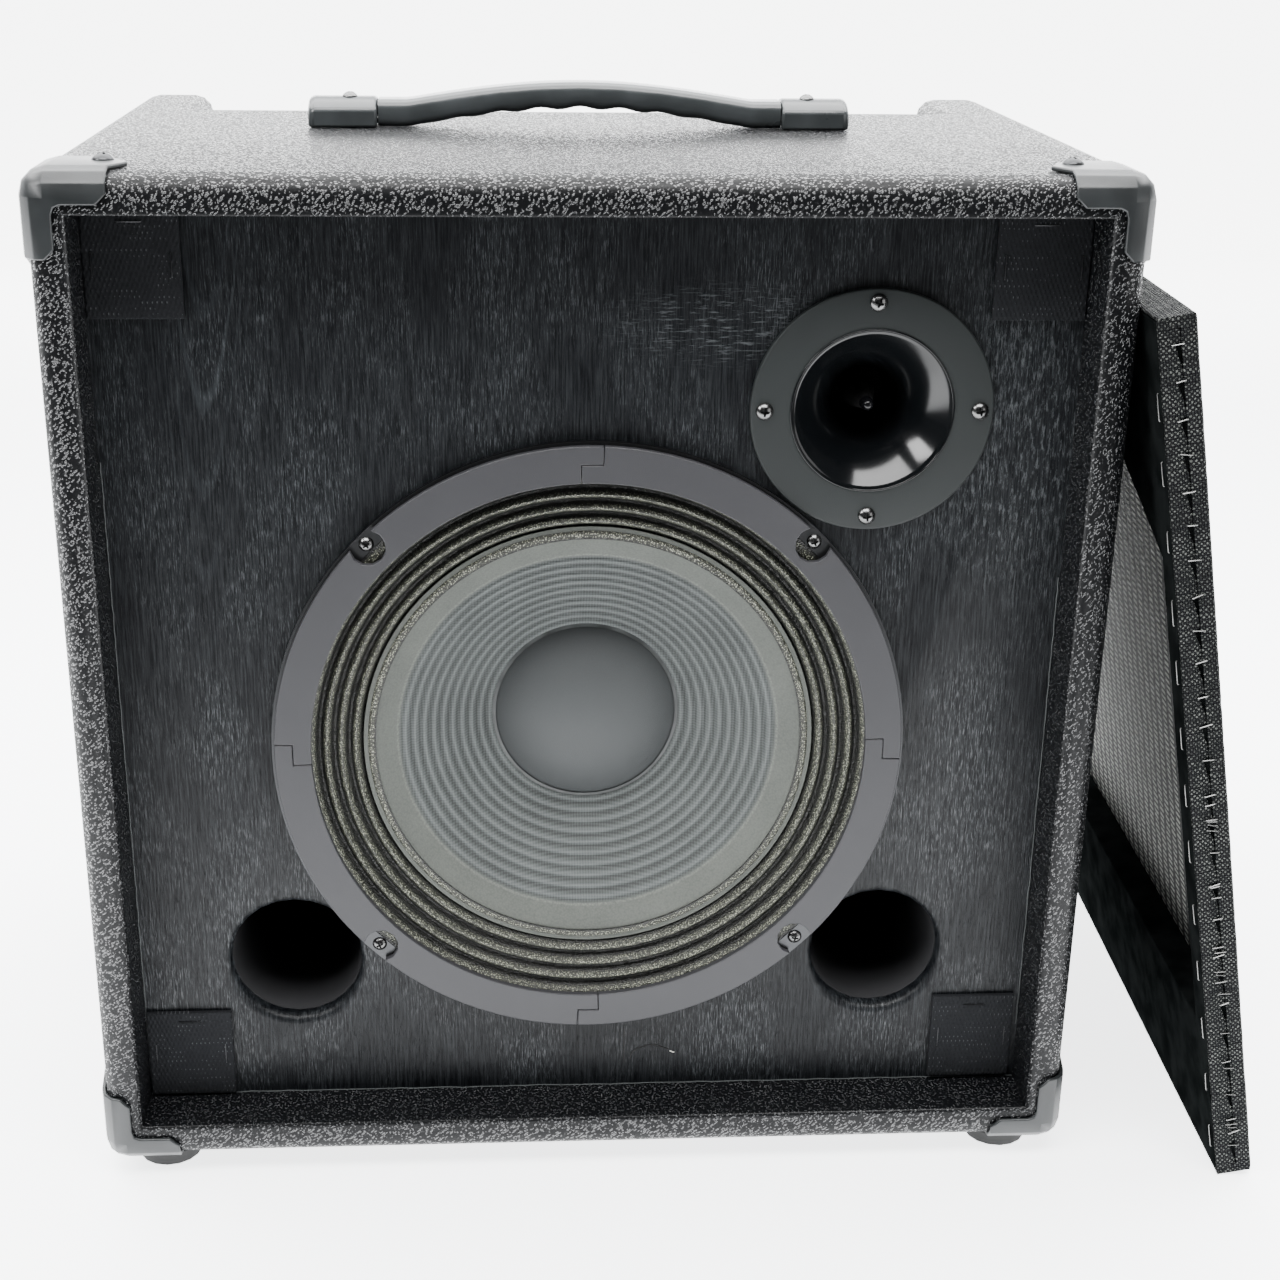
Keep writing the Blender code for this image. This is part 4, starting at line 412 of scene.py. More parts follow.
def painted_wood_finish():
    """Thin black paint over a rotary-cut face: grain, one arch of heartwood and two worn places."""
    wood = Finish("black_painted_wood", roughness=0.5, shine=0.14)
    streaks = wood.mottle((0.9, 5, 22), 4.0, 0.65)
    fibres = wood.mottle((0.55, 5, 6.5), 3.0, 0.7).over(0.50, 0.70)
    pores = wood.mottle((0.35, 5, 5), 2.0, 0.6).over(0.56, 0.72)
    clouds = wood.mottle((38, 60, 80), 4.0, 0.6)
    heart = wood.shifted(wood.ruler(METRE, centre=ARCH_TOP), 0.003, 30.0)
    rise = wood.part_of(heart, 2)
    lean = wood.part_of(heart, 0) - rise * 0.06
    arch = lean * lean * ARCH_BEND - rise
    nested = (arch * 150.0 + 1.6).wave().over(0.55, 1.0) * (1.0 - arch.size().over(0.03, 0.20))
    arch_line = (1.0 - arch.size().over(0.001, 0.007)) * (1.0 - rise.over(0.05, 0.095))
    scuffs = wood.mottle((1.6, 5, 7), 5.0, 0.75).over(0.50, 0.66)
    scuffs = scuffs * wood.near(*SCUFFED)
    rubbed = wood.mottle((9, 5, 1.1), 5.0, 0.7).over(0.52, 0.66)
    scuffs = scuffs + rubbed * wood.near(*RUBBED)
    grain = streaks.over(0.35, 0.75)
    tone = grain * 0.25 + fibres * clouds.over(0.40, 0.66) * 0.75 + nested * 0.12
    shade = wood.blend(tone, (0.0010, 0.0013, 0.0020), (0.042, 0.048, 0.053))
    shade = wood.blend(arch_line * 0.16, shade, (0.040, 0.046, 0.050))
    wood.give("Base Color", wood.blend(scuffs * 0.85, shade, (0.070, 0.076, 0.080)))
    wood.give("Roughness", 0.40 + grain * 0.14 - pores * 0.05 + (clouds - 0.5) * 0.25)
    wood.give("Coat Weight", grain * 0.18 + fibres * clouds.over(0.36, 0.62) * 0.85)
    wood.give("Coat Roughness", 0.42)
    wood.emboss(streaks + nested * 0.25, 0.30)
    wood.emboss(1.0 - pores, 0.15)
    return wood


def board_finish():
    board = Finish("plywood", roughness=0.7)
    grain = board.mottle((40, 2, 2), 4.0, 0.6)
    board.give("Base Color", board.blend(grain.over(0.35, 0.7), (0.30, 0.19, 0.10), (0.50, 0.36, 0.22)))
    board.emboss(grain, 0.2)
    return board


PAINTED_WOOD = painted_wood_finish()
PLYWOOD = board_finish()
print("painted wood from", len(PAINTED_WOOD.tree.nodes), "nodes")

# %% [markdown]
# ## Moulded and sprayed pieces
# A mould is spark-eroded, which leaves a fine even texture on plastic, and handling polishes it in
# patches. Corners, knobs, feet and sockets differ only in colour, gloss and depth of texture, so
# one recipe makes them all, and the sprayed paints as well.

# %% Mould the plastics
def moulded_finish(name, dark, light, roughness, depth=0.06, shine=0.4):
    """Plastic with the fine spark-eroded texture of its mould."""
    plastic = Finish(name, roughness=roughness, shine=shine)
    speckle = plastic.mottle(0.7, 2.0, 0.6)
    haze = plastic.mottle(18, 3.0)
    plastic.give("Base Color", plastic.blend(haze.over(0.3, 0.7), dark, light))
    plastic.give("Roughness", roughness + (haze - 0.5) * 0.12)
    plastic.emboss(speckle, depth)
    return plastic


GRILLE_PAINT = moulded_finish("grille_paint", (0.0025, 0.003, 0.003), (0.007, 0.008, 0.008),
                              0.90, 0.15, 0.0)
CORNER_PLASTIC = moulded_finish("corner_plastic", (0.010, 0.0115, 0.012), (0.017, 0.019, 0.020),
                                0.36, 0.04, 0.42)
STRAP_PLASTIC = moulded_finish("strap_plastic", (0.022, 0.025, 0.026), (0.034, 0.038, 0.040),
                               0.30, 0.03, 0.5)
FOOT_RUBBER = moulded_finish("foot_rubber", (0.012, 0.012, 0.012), (0.022, 0.022, 0.022), 0.75)
SOCKET_PLASTIC = moulded_finish("socket_plastic", (0.014, 0.014, 0.015), (0.022, 0.022, 0.023), 0.45)
KNOB_PLASTIC = moulded_finish("knob_plastic", (0.006, 0.006, 0.0065), (0.011, 0.011, 0.012),
                              0.36, 0.05, 0.28)
BUTTON_PLASTIC = moulded_finish("button_plastic", (0.26, 0.26, 0.25), (0.33, 0.33, 0.32), 0.38)
print("cabinet finishes", len(bpy.data.materials))

# %% [markdown]
# ## Fibre and felt
# The gasket is pressed fibre with a velvety face, and the ports are wound cardboard. Fine noise mottles
# their colour and lifts their nap. The loop pads are felt with rows of stitched loops, so two waves
# cross on them, and in some patches of the rows the loops are painted pale as painted glints.

# %% Press the fibre and stitch the felt
def fibre_finish(name, dark, light, roughness, shine=0.22):
    fibre = Finish(name, roughness=roughness, shine=shine)
    fuzz = fibre.mottle(0.5, 4.0, 0.7)
    haze = fibre.mottle(30, 3.0)
    fibre.give("Base Color", fibre.blend(fuzz * 0.6 + haze * 0.4, dark, light))
    fibre.give("Roughness", roughness + (fuzz - 0.5) * 0.1)
    fibre.emboss(fuzz, 0.12)
    return fibre


def loop_finish():
    """Black felt with rows of stitched loops, painted pale in places as painted glints."""
    felt = Finish("loop_felt", roughness=0.85, shine=0.2)
    fuzz = felt.mottle(0.5, 4.0, 0.7)
    rows = felt.shifted(felt.ruler((1.1, METRE, 2.6)), 0.25, 0.5)
    loops = felt.ripple(rows, 0) * felt.ripple(rows, 2)
    patches = felt.mottle((14, METRE, 4), 3.0, 0.7).over(0.50, 0.60)
    painted_glints = loops.over(0.70, 0.95) * patches
    shade = felt.blend(fuzz, (0.0015, 0.0018, 0.0025), (0.010, 0.011, 0.013))
    # The loops' glints are painted into the base colour in patches.
    felt.give("Base Color", felt.blend(painted_glints * (0.2 + fuzz), shade, (0.09, 0.095, 0.10)))
    felt.emboss(fuzz + loops * 0.6, 0.25)
    return felt


GASKET_FIBRE = fibre_finish("gasket_fibre", (0.019, 0.019, 0.0215), (0.035, 0.035, 0.0385), 0.46, 0.35)
CAP_FELT = fibre_finish("dust_cap_felt", (0.032, 0.035, 0.036), (0.060, 0.064, 0.065), 0.60, 0.3)
LOOP_FELT = loop_finish()
CARDBOARD = fibre_finish("wound_cardboard", (0.016, 0.016, 0.017), (0.028, 0.028, 0.030), 0.80, 0.15)
SPIDER_CLOTH = fibre_finish("spider_cloth", (0.30, 0.22, 0.10), (0.45, 0.34, 0.18), 0.8)
print("fibres and felts done,", len(bpy.data.materials), "finishes so far")

# %% [markdown]
# ## The surround and the cone
# The surround is cloth soaked in a sticky compound: its weave stands up as grains with pale specks
# painted on them as painted glints, and its crests are painted light and its valleys black as painted
# light and shade. The cone is grey paper with the marks of the felt it was pressed on.
# Both patterns follow rings round the woofer's axis, so they are drawn from the distance to it.

# %% Dope the cloth and press the paper
def middle_of(node):
    """The middle of a CAD node's box."""
    low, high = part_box(node)
    return (low + high) / 2


def on_baffle(node):
    """Where the axis of a round CAD node meets the baffle's face."""
    middle = middle_of(node)
    return Vector((middle.x, FRONT + RECESS, middle.z))


WOOFER = on_baffle("dust_cap")
ROLL_START = 137 * MM
ROLL_PITCH = 7.15 * MM
RIBS_END = 94 * MM
RIB_PITCH = 4.7 * MM


def doped_cloth_finish(centre):
    """The rolls' crests are grainy and painted light, with painted glints, and their valleys are
    painted black as painted shade.
    """
    cloth = Finish("doped_cloth", roughness=0.35, shine=0.5)
    rolls = (ROLL_START - cloth.off_axis(centre)) * (2 * math.pi / ROLL_PITCH) + math.pi / 2
    crest_light_and_valley_shade = rolls.wave().over(-0.30, 0.70)
    grains = 1.0 - cloth.cells(cloth.ruler(0.9))
    painted_glints = grains.over(0.50, 0.85)
    pools = cloth.mottle(9, 3.0)
    # Painted light and shade: crests painted light and valleys near black, and pale specks on the
    # grains as painted glints.
    lit_crest_colour = cloth.blend(painted_glints, (0.016, 0.017, 0.011), (0.30, 0.31, 0.24))
    cloth.give("Base Color", cloth.blend(crest_light_and_valley_shade * 0.9 + 0.04, (0.0012, 0.0014, 0.0008), lit_crest_colour))
    cloth.give("Roughness", 0.34 + pools * 0.20)
    cloth.emboss(grains, 0.45)
    return cloth


def cone_paper_finish(centre):
    """Pressed felt with woven dots, ribs whose crests are painted paler and valleys darker as painted
    light and shade, and a sandy band round its rim.
    """
    paper = Finish("cone_paper", roughness=0.8, shine=0.3)
    radius = paper.off_axis(centre)
    rim = radius.over(93 * MM, 96 * MM)
    felt = paper.ruler(1.0, (0, math.radians(45), 0))
    pressed = paper.ripple(felt, 0, 3.1) * paper.ripple(felt, 2, 3.1)
    sand = 1.0 - paper.cells(paper.ruler(1.1))
    pulp = paper.mottle(1.2, 4.0, 0.7)
    haze = paper.mottle(26, 2.0)
    dots = pressed * (1.0 - rim) + sand * rim
    ring = 1.0 - (radius - 95.5 * MM).size().over(0.2 * MM, 0.9 * MM)
    # Painted light and shade on the ribs: paler crests, darker valleys.
    rib_light_and_shade = ((RIBS_END - radius) * (2 * math.pi / RIB_PITCH) - math.pi / 2).wave() * (1.0 - rim)
    tone = pulp * 0.30 + haze * 0.30 + dots * 0.22 + rib_light_and_shade * 0.27 + ring * sand * 0.40 + 0.08
    shade = paper.blend(rim, (0.126, 0.139, 0.137), (0.134, 0.143, 0.126))
    paper.give("Base Color", paper.blend(tone, (0.030, 0.033, 0.032), shade))
    paper.give("Roughness", 0.62 + pulp * 0.15)
    paper.emboss(dots * 0.4 + pulp * 0.6, 0.20)
    return paper


DOPED_CLOTH = doped_cloth_finish(WOOFER)
CONE_PAPER = cone_paper_finish(WOOFER)
print("rings round", [round(part, 4) for part in WOOFER])

# %% [markdown]
# ## The horn and the metals
# The horn is one moulding whose flange is spark-eroded while its bowl is polished, so the gloss
# changes with the distance from its axis. Rolled and turned metal has fine lines, which stretched
# noise gives. Worn screws are darker and duller than new ones.

# %% Polish the horn and brush the metals
def horn_finish(centre):
    """Dull on the flange and polished in the bowl, told apart by the distance from the axis, with
    painted shade darkening the throat.
    """
    horn = Finish("horn_moulding", roughness=0.5, shine=0.36)
    radius = horn.off_axis(centre)
    flange = radius.over(38.5 * MM, 39.5 * MM)
    throat_shade = 1.0 - radius.over(14 * MM, 22 * MM)
    speckle = horn.mottle(0.6, 2.0, 0.6)
    haze = horn.mottle(22, 3.0)
    # The throat is painted darker than the rest of the bowl: painted shade.
    bowl = horn.blend(throat_shade, (0.0025, 0.003, 0.0035), (0.0004, 0.0004, 0.0004))
    horn.give("Base Color", horn.blend(flange, bowl, (0.008, 0.0105, 0.0105)))
    horn.give("Roughness", 0.11 + flange * 0.42 + haze * 0.05)
    horn.emboss(speckle * flange, 0.08)
    return horn


def bullet_finish():
    """Polished at the tip, and dull and painted darker further in as painted shade, so the throat stays
    black.
    """
    bullet = Finish("bullet_plastic", colour=(0.001, 0.001, 0.001), shine=0.3)
    deep_dull_and_shaded = bullet.part_of(bullet.ruler(METRE, centre=(0, FRONT + RECESS, 0)), 1).over(12 * MM, 18 * MM)
    haze = bullet.mottle(3, 2.0)
    # Further in, the base colour is darker: painted shade. The rising roughness is the real dull
    # finish.
    bullet.give("Base Color", bullet.blend(deep_dull_and_shaded, (0.004, 0.004, 0.005), (0.0002, 0.0002, 0.0002)))
    bullet.give("Roughness", 0.10 + deep_dull_and_shaded * 0.85 + haze * 0.04)
    return bullet


def metal_finish(name, colour, roughness, brushed=1.5, relief=0.03):
    """Metal whose fine lines have a size in millimetres."""
    metal = Finish(name, colour=colour, roughness=roughness, metallic=1.0)
    lines = metal.mottle(brushed, 4.0, 0.6)
    metal.give("Roughness", roughness + (lines - 0.5) * 0.25)
    metal.give("Base Color", metal.blend(lines, tuple(0.8 * part for part in colour), colour))
    metal.emboss(lines, relief)
    return metal


HORN = on_baffle("horn")
HORN_MOULDING = horn_finish(HORN)
SCREW_STEEL = metal_finish("screw_steel", (0.13, 0.13, 0.129), 0.24, relief=0.004)
DARK_STEEL = metal_finish("blackened_steel", (0.055, 0.056, 0.058), 0.34, relief=0.006)
# Near black for the screws' cross recesses, as painted shade there, and for the baffle's real joint and
# chip lines.
RECESS_SHADE_AND_JOINT_BLACK = moulded_finish("recess_shade_and_joint_black", (0.002, 0.002, 0.002), (0.004, 0.004, 0.004), 0.6)
CHASSIS_STEEL = metal_finish("chassis_steel", (0.11, 0.113, 0.117), 0.42, (30, 0.8, 0.8))
NICKEL = metal_finish("nickel", (0.34, 0.34, 0.33), 0.22)
STAPLE_WIRE = metal_finish("staple_wire", (0.22, 0.22, 0.215), 0.45)
COPPER = metal_finish("copper_wire", (0.62, 0.27, 0.14), 0.30)
FERRITE = moulded_finish("ferrite", (0.035, 0.035, 0.038), (0.055, 0.055, 0.058), 0.6)
PANEL_PAINT = moulded_finish("panel_paint", (0.006, 0.0063, 0.0066), (0.010, 0.0105, 0.011),
                             0.50, 0.12, 0.2)
FIBRE_BOARD = moulded_finish("circuit_board", (0.03, 0.12, 0.05), (0.05, 0.18, 0.08), 0.4)
DIAL_PAINT = moulded_finish("dial_paint", (0.62, 0.62, 0.60), (0.72, 0.72, 0.70), 0.55)
print("all finishes", len(bpy.data.materials))

# %% [markdown]
# ## Pieces and bodies
# Every piece but the surround rides on a body of the model, such as the cabinet, the cone or a knob,
# and moves with it. A finished piece keeps its object at the origin, and its place is in its mesh,
# because the export puts every object there before it bakes.

# %% Put a shape on its body
def placed(name, shape):
    """Turns a bmesh into an object of the scene."""
    mesh = bpy.data.meshes.new(name)
    shape.to_mesh(mesh)
    shape.free()
    made = bpy.data.objects.new(name, mesh)
    bpy.context.scene.collection.objects.link(made)
    return made


def keep(name, shape, finish, body, sharp=38):
    """Turns a bmesh into a piece that rides on a CAD body."""
    for face in shape.faces:
        face.smooth = True
    piece = placed(name, shape)
    piece.data.set_sharp_from_angle(angle=math.radians(sharp))
    piece.data.materials.append(finish.material)
    if body:
        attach(piece, body)
    return piece


# %% [markdown]
# ## Spun lines and soft boxes
# Most pieces here are turned or moulded. A turned one starts as a line of points that is spun
# round an axis, and merging its doubles closes the seam and the poles. A moulded one starts as a
# cube whose edges are bevelled, as no real moulding has a sharp edge.

# %% Spin a line and round a box
def spun(profile, steps, closed=False):
    """A line of (radius, height) points spun round Z."""
    shape = bmesh.new()
    corners = [shape.verts.new((radius, 0, height)) for radius, height in profile]
    pairs = list(zip(corners, corners[1:]))
    if closed:
        pairs.append((corners[-1], corners[0]))
    edges = [shape.edges.new(pair) for pair in pairs]
    bmesh.ops.spin(shape, geom=corners + edges, cent=(0, 0, 0), axis=(0, 0, 1),
                   angle=2 * math.pi, steps=steps, use_merge=True)
    bmesh.ops.remove_doubles(shape, verts=shape.verts, dist=0.000001)
    bmesh.ops.recalc_face_normals(shape, faces=shape.faces)
    return shape


def bow(centre, radius, start, end, steps):
    """Points along an arc, with its angles in degrees."""
    points = []
    for step in range(steps + 1):
        angle = math.radians(start + (end - start) * step / steps)
        points.append((centre[0] + radius * math.cos(angle), centre[1] + radius * math.sin(angle)))
    return points


def soft_box(low, high, radius, steps=2):
    """A box between two corners with all its edges rounded."""
    low = Vector(low)
    high = Vector(high)
    shape = bmesh.new()
    bmesh.ops.create_cube(shape, size=1.0)
    bmesh.ops.scale(shape, vec=high - low, verts=shape.verts)
    bmesh.ops.translate(shape, vec=(low + high) / 2, verts=shape.verts)
    bmesh.ops.bevel(shape, geom=shape.edges[:], offset=radius, segments=steps, profile=0.5,
                    affect="EDGES", material=-1)
    return shape


def moved(shape, matrix):
    bmesh.ops.transform(shape, matrix=matrix, verts=shape.verts)
    return shape


trial = soft_box((0, 0, 0), (1, 1, 1), 0.1)
print("a soft box has", len(trial.faces), "faces")
trial.free()

# %% [markdown]
# ## Screws
# Every screw here is a pan head with a cross recess. One head is cut once with two crossed bars,
# and each place gets a copy at its own size and turn, so no two recesses line up.

# %% Cut one screw head and copy it
def facing(place, direction):
    """Matrix that takes Z to a direction at a place."""
    turned = Vector(direction).to_track_quat("Z", "Y").to_matrix().to_4x4()
    return Matrix.Translation(place) @ turned


def screw_pattern():
    """A pan head of radius 1 with a cross recess, standing on z = 0."""
    profile = [(0, 0.62)] + bow((0, -0.55), 1.17, 78, 33, 5) + [(1.0, 0.0), (0, 0.0)]
    head = placed("head", spun(profile, 24))
    cutters = []
    for turn in (0, math.pi / 2):
        bar = soft_box((-0.50, -0.12, 0.15), (0.50, 0.12, 1.2), 0.04, 1)
        cutter = placed("bar", moved(bar, Matrix.Rotation(turn, 4, "Z")))
        step = head.modifiers.new("cross", "BOOLEAN")
        step.operation = "DIFFERENCE"
        step.solver = "EXACT"
        step.object = cutter
        cutters.append(cutter)
    bpy.context.view_layer.update()
    state = bpy.context.evaluated_depsgraph_get()
    mesh = bpy.data.meshes.new_from_object(head.evaluated_get(state))
    for used in [head] + cutters:
        bpy.data.objects.remove(used, do_unlink=True)
    # The recess's faces get the second slot, painted black as painted shade in the recess.
    for face in mesh.polygons:
        reach = math.hypot(face.center.x, face.center.y)
        face.material_index = int(reach < 0.52 and 0.05 < face.center.z < 0.45)
    return mesh


SCREW = screw_pattern()
turns = random.Random(7)


def screws(name, places, radius, finish=SCREW_STEEL):
    """Screw heads in the cabinet, at (place, direction) pairs."""
    whole = bmesh.new()
    for place, direction in places:
        mesh = SCREW.copy()
        turn = Matrix.Rotation(turns.uniform(0, math.pi), 4, "Z")
        mesh.transform(facing(place, direction) @ turn @ Matrix.Scale(radius, 4))
        whole.from_mesh(mesh)
        bpy.data.meshes.remove(mesh)
    heads = keep(name, whole, finish, "cabinet", 30)
    # The second slot paints the recesses black: painted shade.
    heads.data.materials.append(RECESS_SHADE_AND_JOINT_BLACK.material)


print("screw head", len(SCREW.polygons), "faces")

# %% [markdown]
# ## The cabinet
# The boards, the covering and the baffle already have their true shapes in the CAD, so they are
# traced and smoothed. A CAD node is a mesh of loose triangles. Joining them first lets its curved
# faces shade smoothly and its edges take a bevel. Boards that are out of sight are only painted.

# %% Trace the solids and dress the cabinet
def traced(node):
    """The shape of a CAD node, with its triangles joined into flat faces."""
    shape = bmesh.new()
    shape.from_mesh(frame["nodes"][node].data)
    bmesh.ops.remove_doubles(shape, verts=shape.verts, dist=0.00002)
    bmesh.ops.dissolve_limit(shape, angle_limit=math.radians(1), verts=shape.verts, edges=shape.edges)
    return shape


def rounder(shape, middle, cuts=2):
    """Splits the edges round an axis along Y and pushes the new corners out to their circle."""
    def reach(corner):
        return math.hypot(corner.co.x - middle.x, corner.co.z - middle.z)

    rings = {}
    for edge in shape.edges:
        radius, other = (reach(corner) for corner in edge.verts)
        flat = abs(edge.verts[0].co.y - edge.verts[1].co.y) < 0.01 * MM
        if flat and abs(radius - other) < 0.03 * MM and 3 * MM < edge.calc_length() < 0.2 * radius:
            rings.setdefault(round(radius / (0.1 * MM)), []).append(edge)
    for step, edges in rings.items():
        whole = [edge for edge in edges if edge.is_valid]
        made = bmesh.ops.subdivide_edges(shape, edges=whole, cuts=cuts)
        for corner in made["geom_inner"]:
            if isinstance(corner, bmesh.types.BMVert):
                grow = step * 0.1 * MM / reach(corner)
                corner.co.x = middle.x + (corner.co.x - middle.x) * grow
                corner.co.z = middle.z + (corner.co.z - middle.z) * grow


def refined(node, finish, width=0.0, sharp=38, round_to=None):
    """A piece that takes a CAD node's shape and place, its edges softened over millimetres."""
    shape = traced(node)
    if round_to is not None:
        rounder(shape, round_to)
    piece = keep(node + "_finish", shape, finish, frame["nodes"][node]["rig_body"], sharp)
    if width:
        rounding = piece.modifiers.new("soft_edges", "BEVEL")
        rounding.width = width * MM
        rounding.segments = 2
        rounding.limit_method = "ANGLE"
        rounding.angle_limit = math.radians(30)
    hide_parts(node)


def repaint(node, finish):
    """A CAD node that stays as it is and gets a better finish."""
    slots = frame["nodes"][node].data.materials
    slots.clear()
    slots.append(finish.material)


refined("vinyl_covering", VINYL, sharp=50)
refined("baffle_board", PAINTED_WOOD)
repaint("back_panel", PAINTED_WOOD)
for board in ("top_board", "bottom_board", "left_side_board", "right_side_board"):
    repaint(board, PLYWOOD)
print("solids in the model", len(frame["nodes"]))

# %% [markdown]
# The cut edge of the vinyl shows as a pale ragged line where the baffle meets the walls. A bevel
# can't fray, so a thin wire that wanders with noise is laid in that corner.

# %% Lay the vinyl's cut edges
def wire(points, radius):
    """A round wire through points."""
    curve = bpy.data.curves.new("wire", "CURVE")
    curve.dimensions = "3D"
    curve.bevel_depth = radius
    curve.bevel_resolution = 1
    curve.use_fill_caps = True
    spline = curve.splines.new("POLY")
    spline.points.add(len(points) - 1)
    for knot, point in zip(spline.points, points):
        knot.co = (*point, 1.0)
    carrier = bpy.data.objects.new("wire", curve)
    mesh = bpy.data.meshes.new_from_object(carrier)
    shape = bmesh.new()
    shape.from_mesh(mesh)
    bmesh.ops.remove_doubles(shape, verts=shape.verts, dist=0.000001)
    bpy.data.objects.remove(carrier)
    bpy.data.meshes.remove(mesh)
    return shape


def joined(shapes):
    """Several shapes as one."""
    whole = bmesh.new()
    for shape in shapes:
        mesh = bpy.data.meshes.new("part")
        shape.to_mesh(mesh)
        shape.free()
        whole.from_mesh(mesh)
        bpy.data.meshes.remove(mesh)
    return whole


def ragged_edge(start, end, drift, seed, count=70):
    """A line between two places that wanders sideways."""
    points = []
    for step in range(count + 1):
        place = start.lerp(end, step / count)
        wander = noise.noise_vector(place * 180 + Vector((seed, 0, 0))) * drift
        points.append(place + wander)
    return points


WALL = 18 * MM
SEAM = 0.6 * MM
side = HALF_WIDTH - WALL - SEAM
seam_lines = (((-side, WALL + 50 * MM), (-side, 360 * MM)), ((side, 50 * MM), (side, 300 * MM)),
              ((-side - SEAM, WALL + 0.3 * MM), (side + SEAM, WALL + 0.3 * MM)))
edges = []
for seed, ends in enumerate(seam_lines):
    start, end = (at(across, RECESS - SEAM, up) for across, up in ends)
    edges.append(wire(ragged_edge(start, end, 0.45 * MM, seed), 0.28 * MM))
CUT_VINYL = fibre_finish("cut_vinyl_edge", (0.012, 0.013, 0.013), (0.10, 0.11, 0.11), 0.8)
keep("vinyl_cut_edges", joined(edges), CUT_VINYL, "cabinet")
print("cut edges of vinyl", len(edges))

# %% [markdown]
# One board of the plywood's face ends in a joint below the woofer, and the paint has chipped off
# it in a small arc. A hair-thin wire sunk halfway in the board draws both.

# %% Draw the joint and the chip in the baffle
def mm(*points):
    """Points given in millimetres."""
    return [tuple(part * MM for part in point) for point in points]


JOINT_AT, JOINT_TOP, JOINT_LONG = 19.3 * MM, 53.5 * MM, 22.5 * MM
joint_line = [at(JOINT_AT, RECESS, JOINT_TOP - JOINT_LONG * step / 12) for step in range(13)]
joint_line = [place + noise.noise_vector(place * 300) * 0.3 * MM for place in joint_line]
chip = mm((22.5, 33.5), (23.8, 37.2), (26.8, 39.6), (31.2, 41.2), (35.2, 41.5), (39.2, 40.2),
          (42.8, 38.4))
chip_line = []
for across, up in chip:
    wander = noise.noise_vector(Vector((across * 900, up * 900, 0))) * 0.3 * MM
    chip_line.append(at(across, RECESS, up) + wander)
dark_lines = joined([wire(joint_line, 0.32 * MM), wire(chip_line, 0.42 * MM)])
keep("baffle_joint", dark_lines, RECESS_SHADE_AND_JOINT_BLACK, "cabinet")
# A pale fleck at the chip's end is a painted highlight where the chip catches the light.
glint = [at(across, RECESS, up) for across, up in mm((43.7, 37.6), (45.2, 36.8), (46.2, 36.6))]
CHIP_GLINT_PAINT = fibre_finish("chip_glint_paint", (0.35, 0.35, 0.32), (0.60, 0.60, 0.55), 0.7)
keep("baffle_chip_glint", wire(glint, 0.35 * MM), CHIP_GLINT_PAINT, "cabinet")
print("joint of", len(joint_line), "points, chip of", len(chip_line))

# %% [markdown]
# ## Corners and feet
# Each protector is one moulding with a soft edge all round, held by a screw on each flap. The
# bottom ones share their screw with the foot below.

# %% Fit the protectors, their screws and the feet
PROUD = 2.5 * MM
SCREW_IN = 31.3 * MM
SCREW_BACK = 29.0 * MM
corner_screws = []
for corner, side, rear, upper in (("front_top_left", -1, 0, 1), ("front_top_right", 1, 0, 1),
                                  ("front_bottom_left", -1, 0, 0), ("front_bottom_right", 1, 0, 0),
                                  ("rear_bottom_left", -1, 1, 0), ("rear_bottom_right", 1, 1, 0)):
    refined("protector_" + corner, CORNER_PLASTIC, 0.7)
    back = DEPTH - SCREW_BACK if rear else SCREW_BACK
    up = HEIGHT - SCREW_IN if upper else SCREW_IN
    corner_screws.append((at(side * (HALF_WIDTH + PROUD - 2.6 * MM), back, up), (side, 0, 0)))
    if upper:
        corner_screws.append((at(side * (HALF_WIDTH - SCREW_IN), back, HEIGHT + PROUD), (0, 0, 1)))
screws("protector_screws", corner_screws, 5.0 * MM, DARK_STEEL)

foot_screws = []
for end in ("front", "rear"):
    for side in ("left", "right"):
        node = "foot_" + end + "_" + side
        refined(node, FOOT_RUBBER, 0.8)
        seat = middle_of(node)
        seat.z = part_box(node)[0].z + 4 * MM
        foot_screws.append((seat, (0, 0, -1)))
screws("foot_screws", foot_screws, 4.2 * MM)
print("protector screws", len(corner_screws), "foot screws", len(foot_screws))

# %% [markdown]
# ## The strap handle
# The strap is a long soft-edged bar that bows up in the middle, with shallow waves for the
# fingers underneath. A ring of points is extruded from station to station and re-shaped at each,
# which is how a loft is made with mesh operators.

# %% Shape the strap and its caps
strap_low, strap_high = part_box("handle_strap")
cap_inner = (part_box("handle_cap_right")[0].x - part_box("handle_cap_left")[1].x) / 2
STRAP_HALF = cap_inner - 0.5 * MM
STRAP_MIDDLE = (strap_low.x + strap_high.x) / 2
STRAP_WIDE = strap_high.y - strap_low.y
STRAP_BACK = (strap_low.y + strap_high.y) / 2
TOP = BASE + HEIGHT
ARCH = 88 * MM
CROWN = strap_high.z - TOP
END_TALL = 14 * MM
THICK = 13 * MM
LIFT = 0.3 * MM
FINGER_WAVE = 21 * MM
TONGUE_HALF = 8.5 * MM


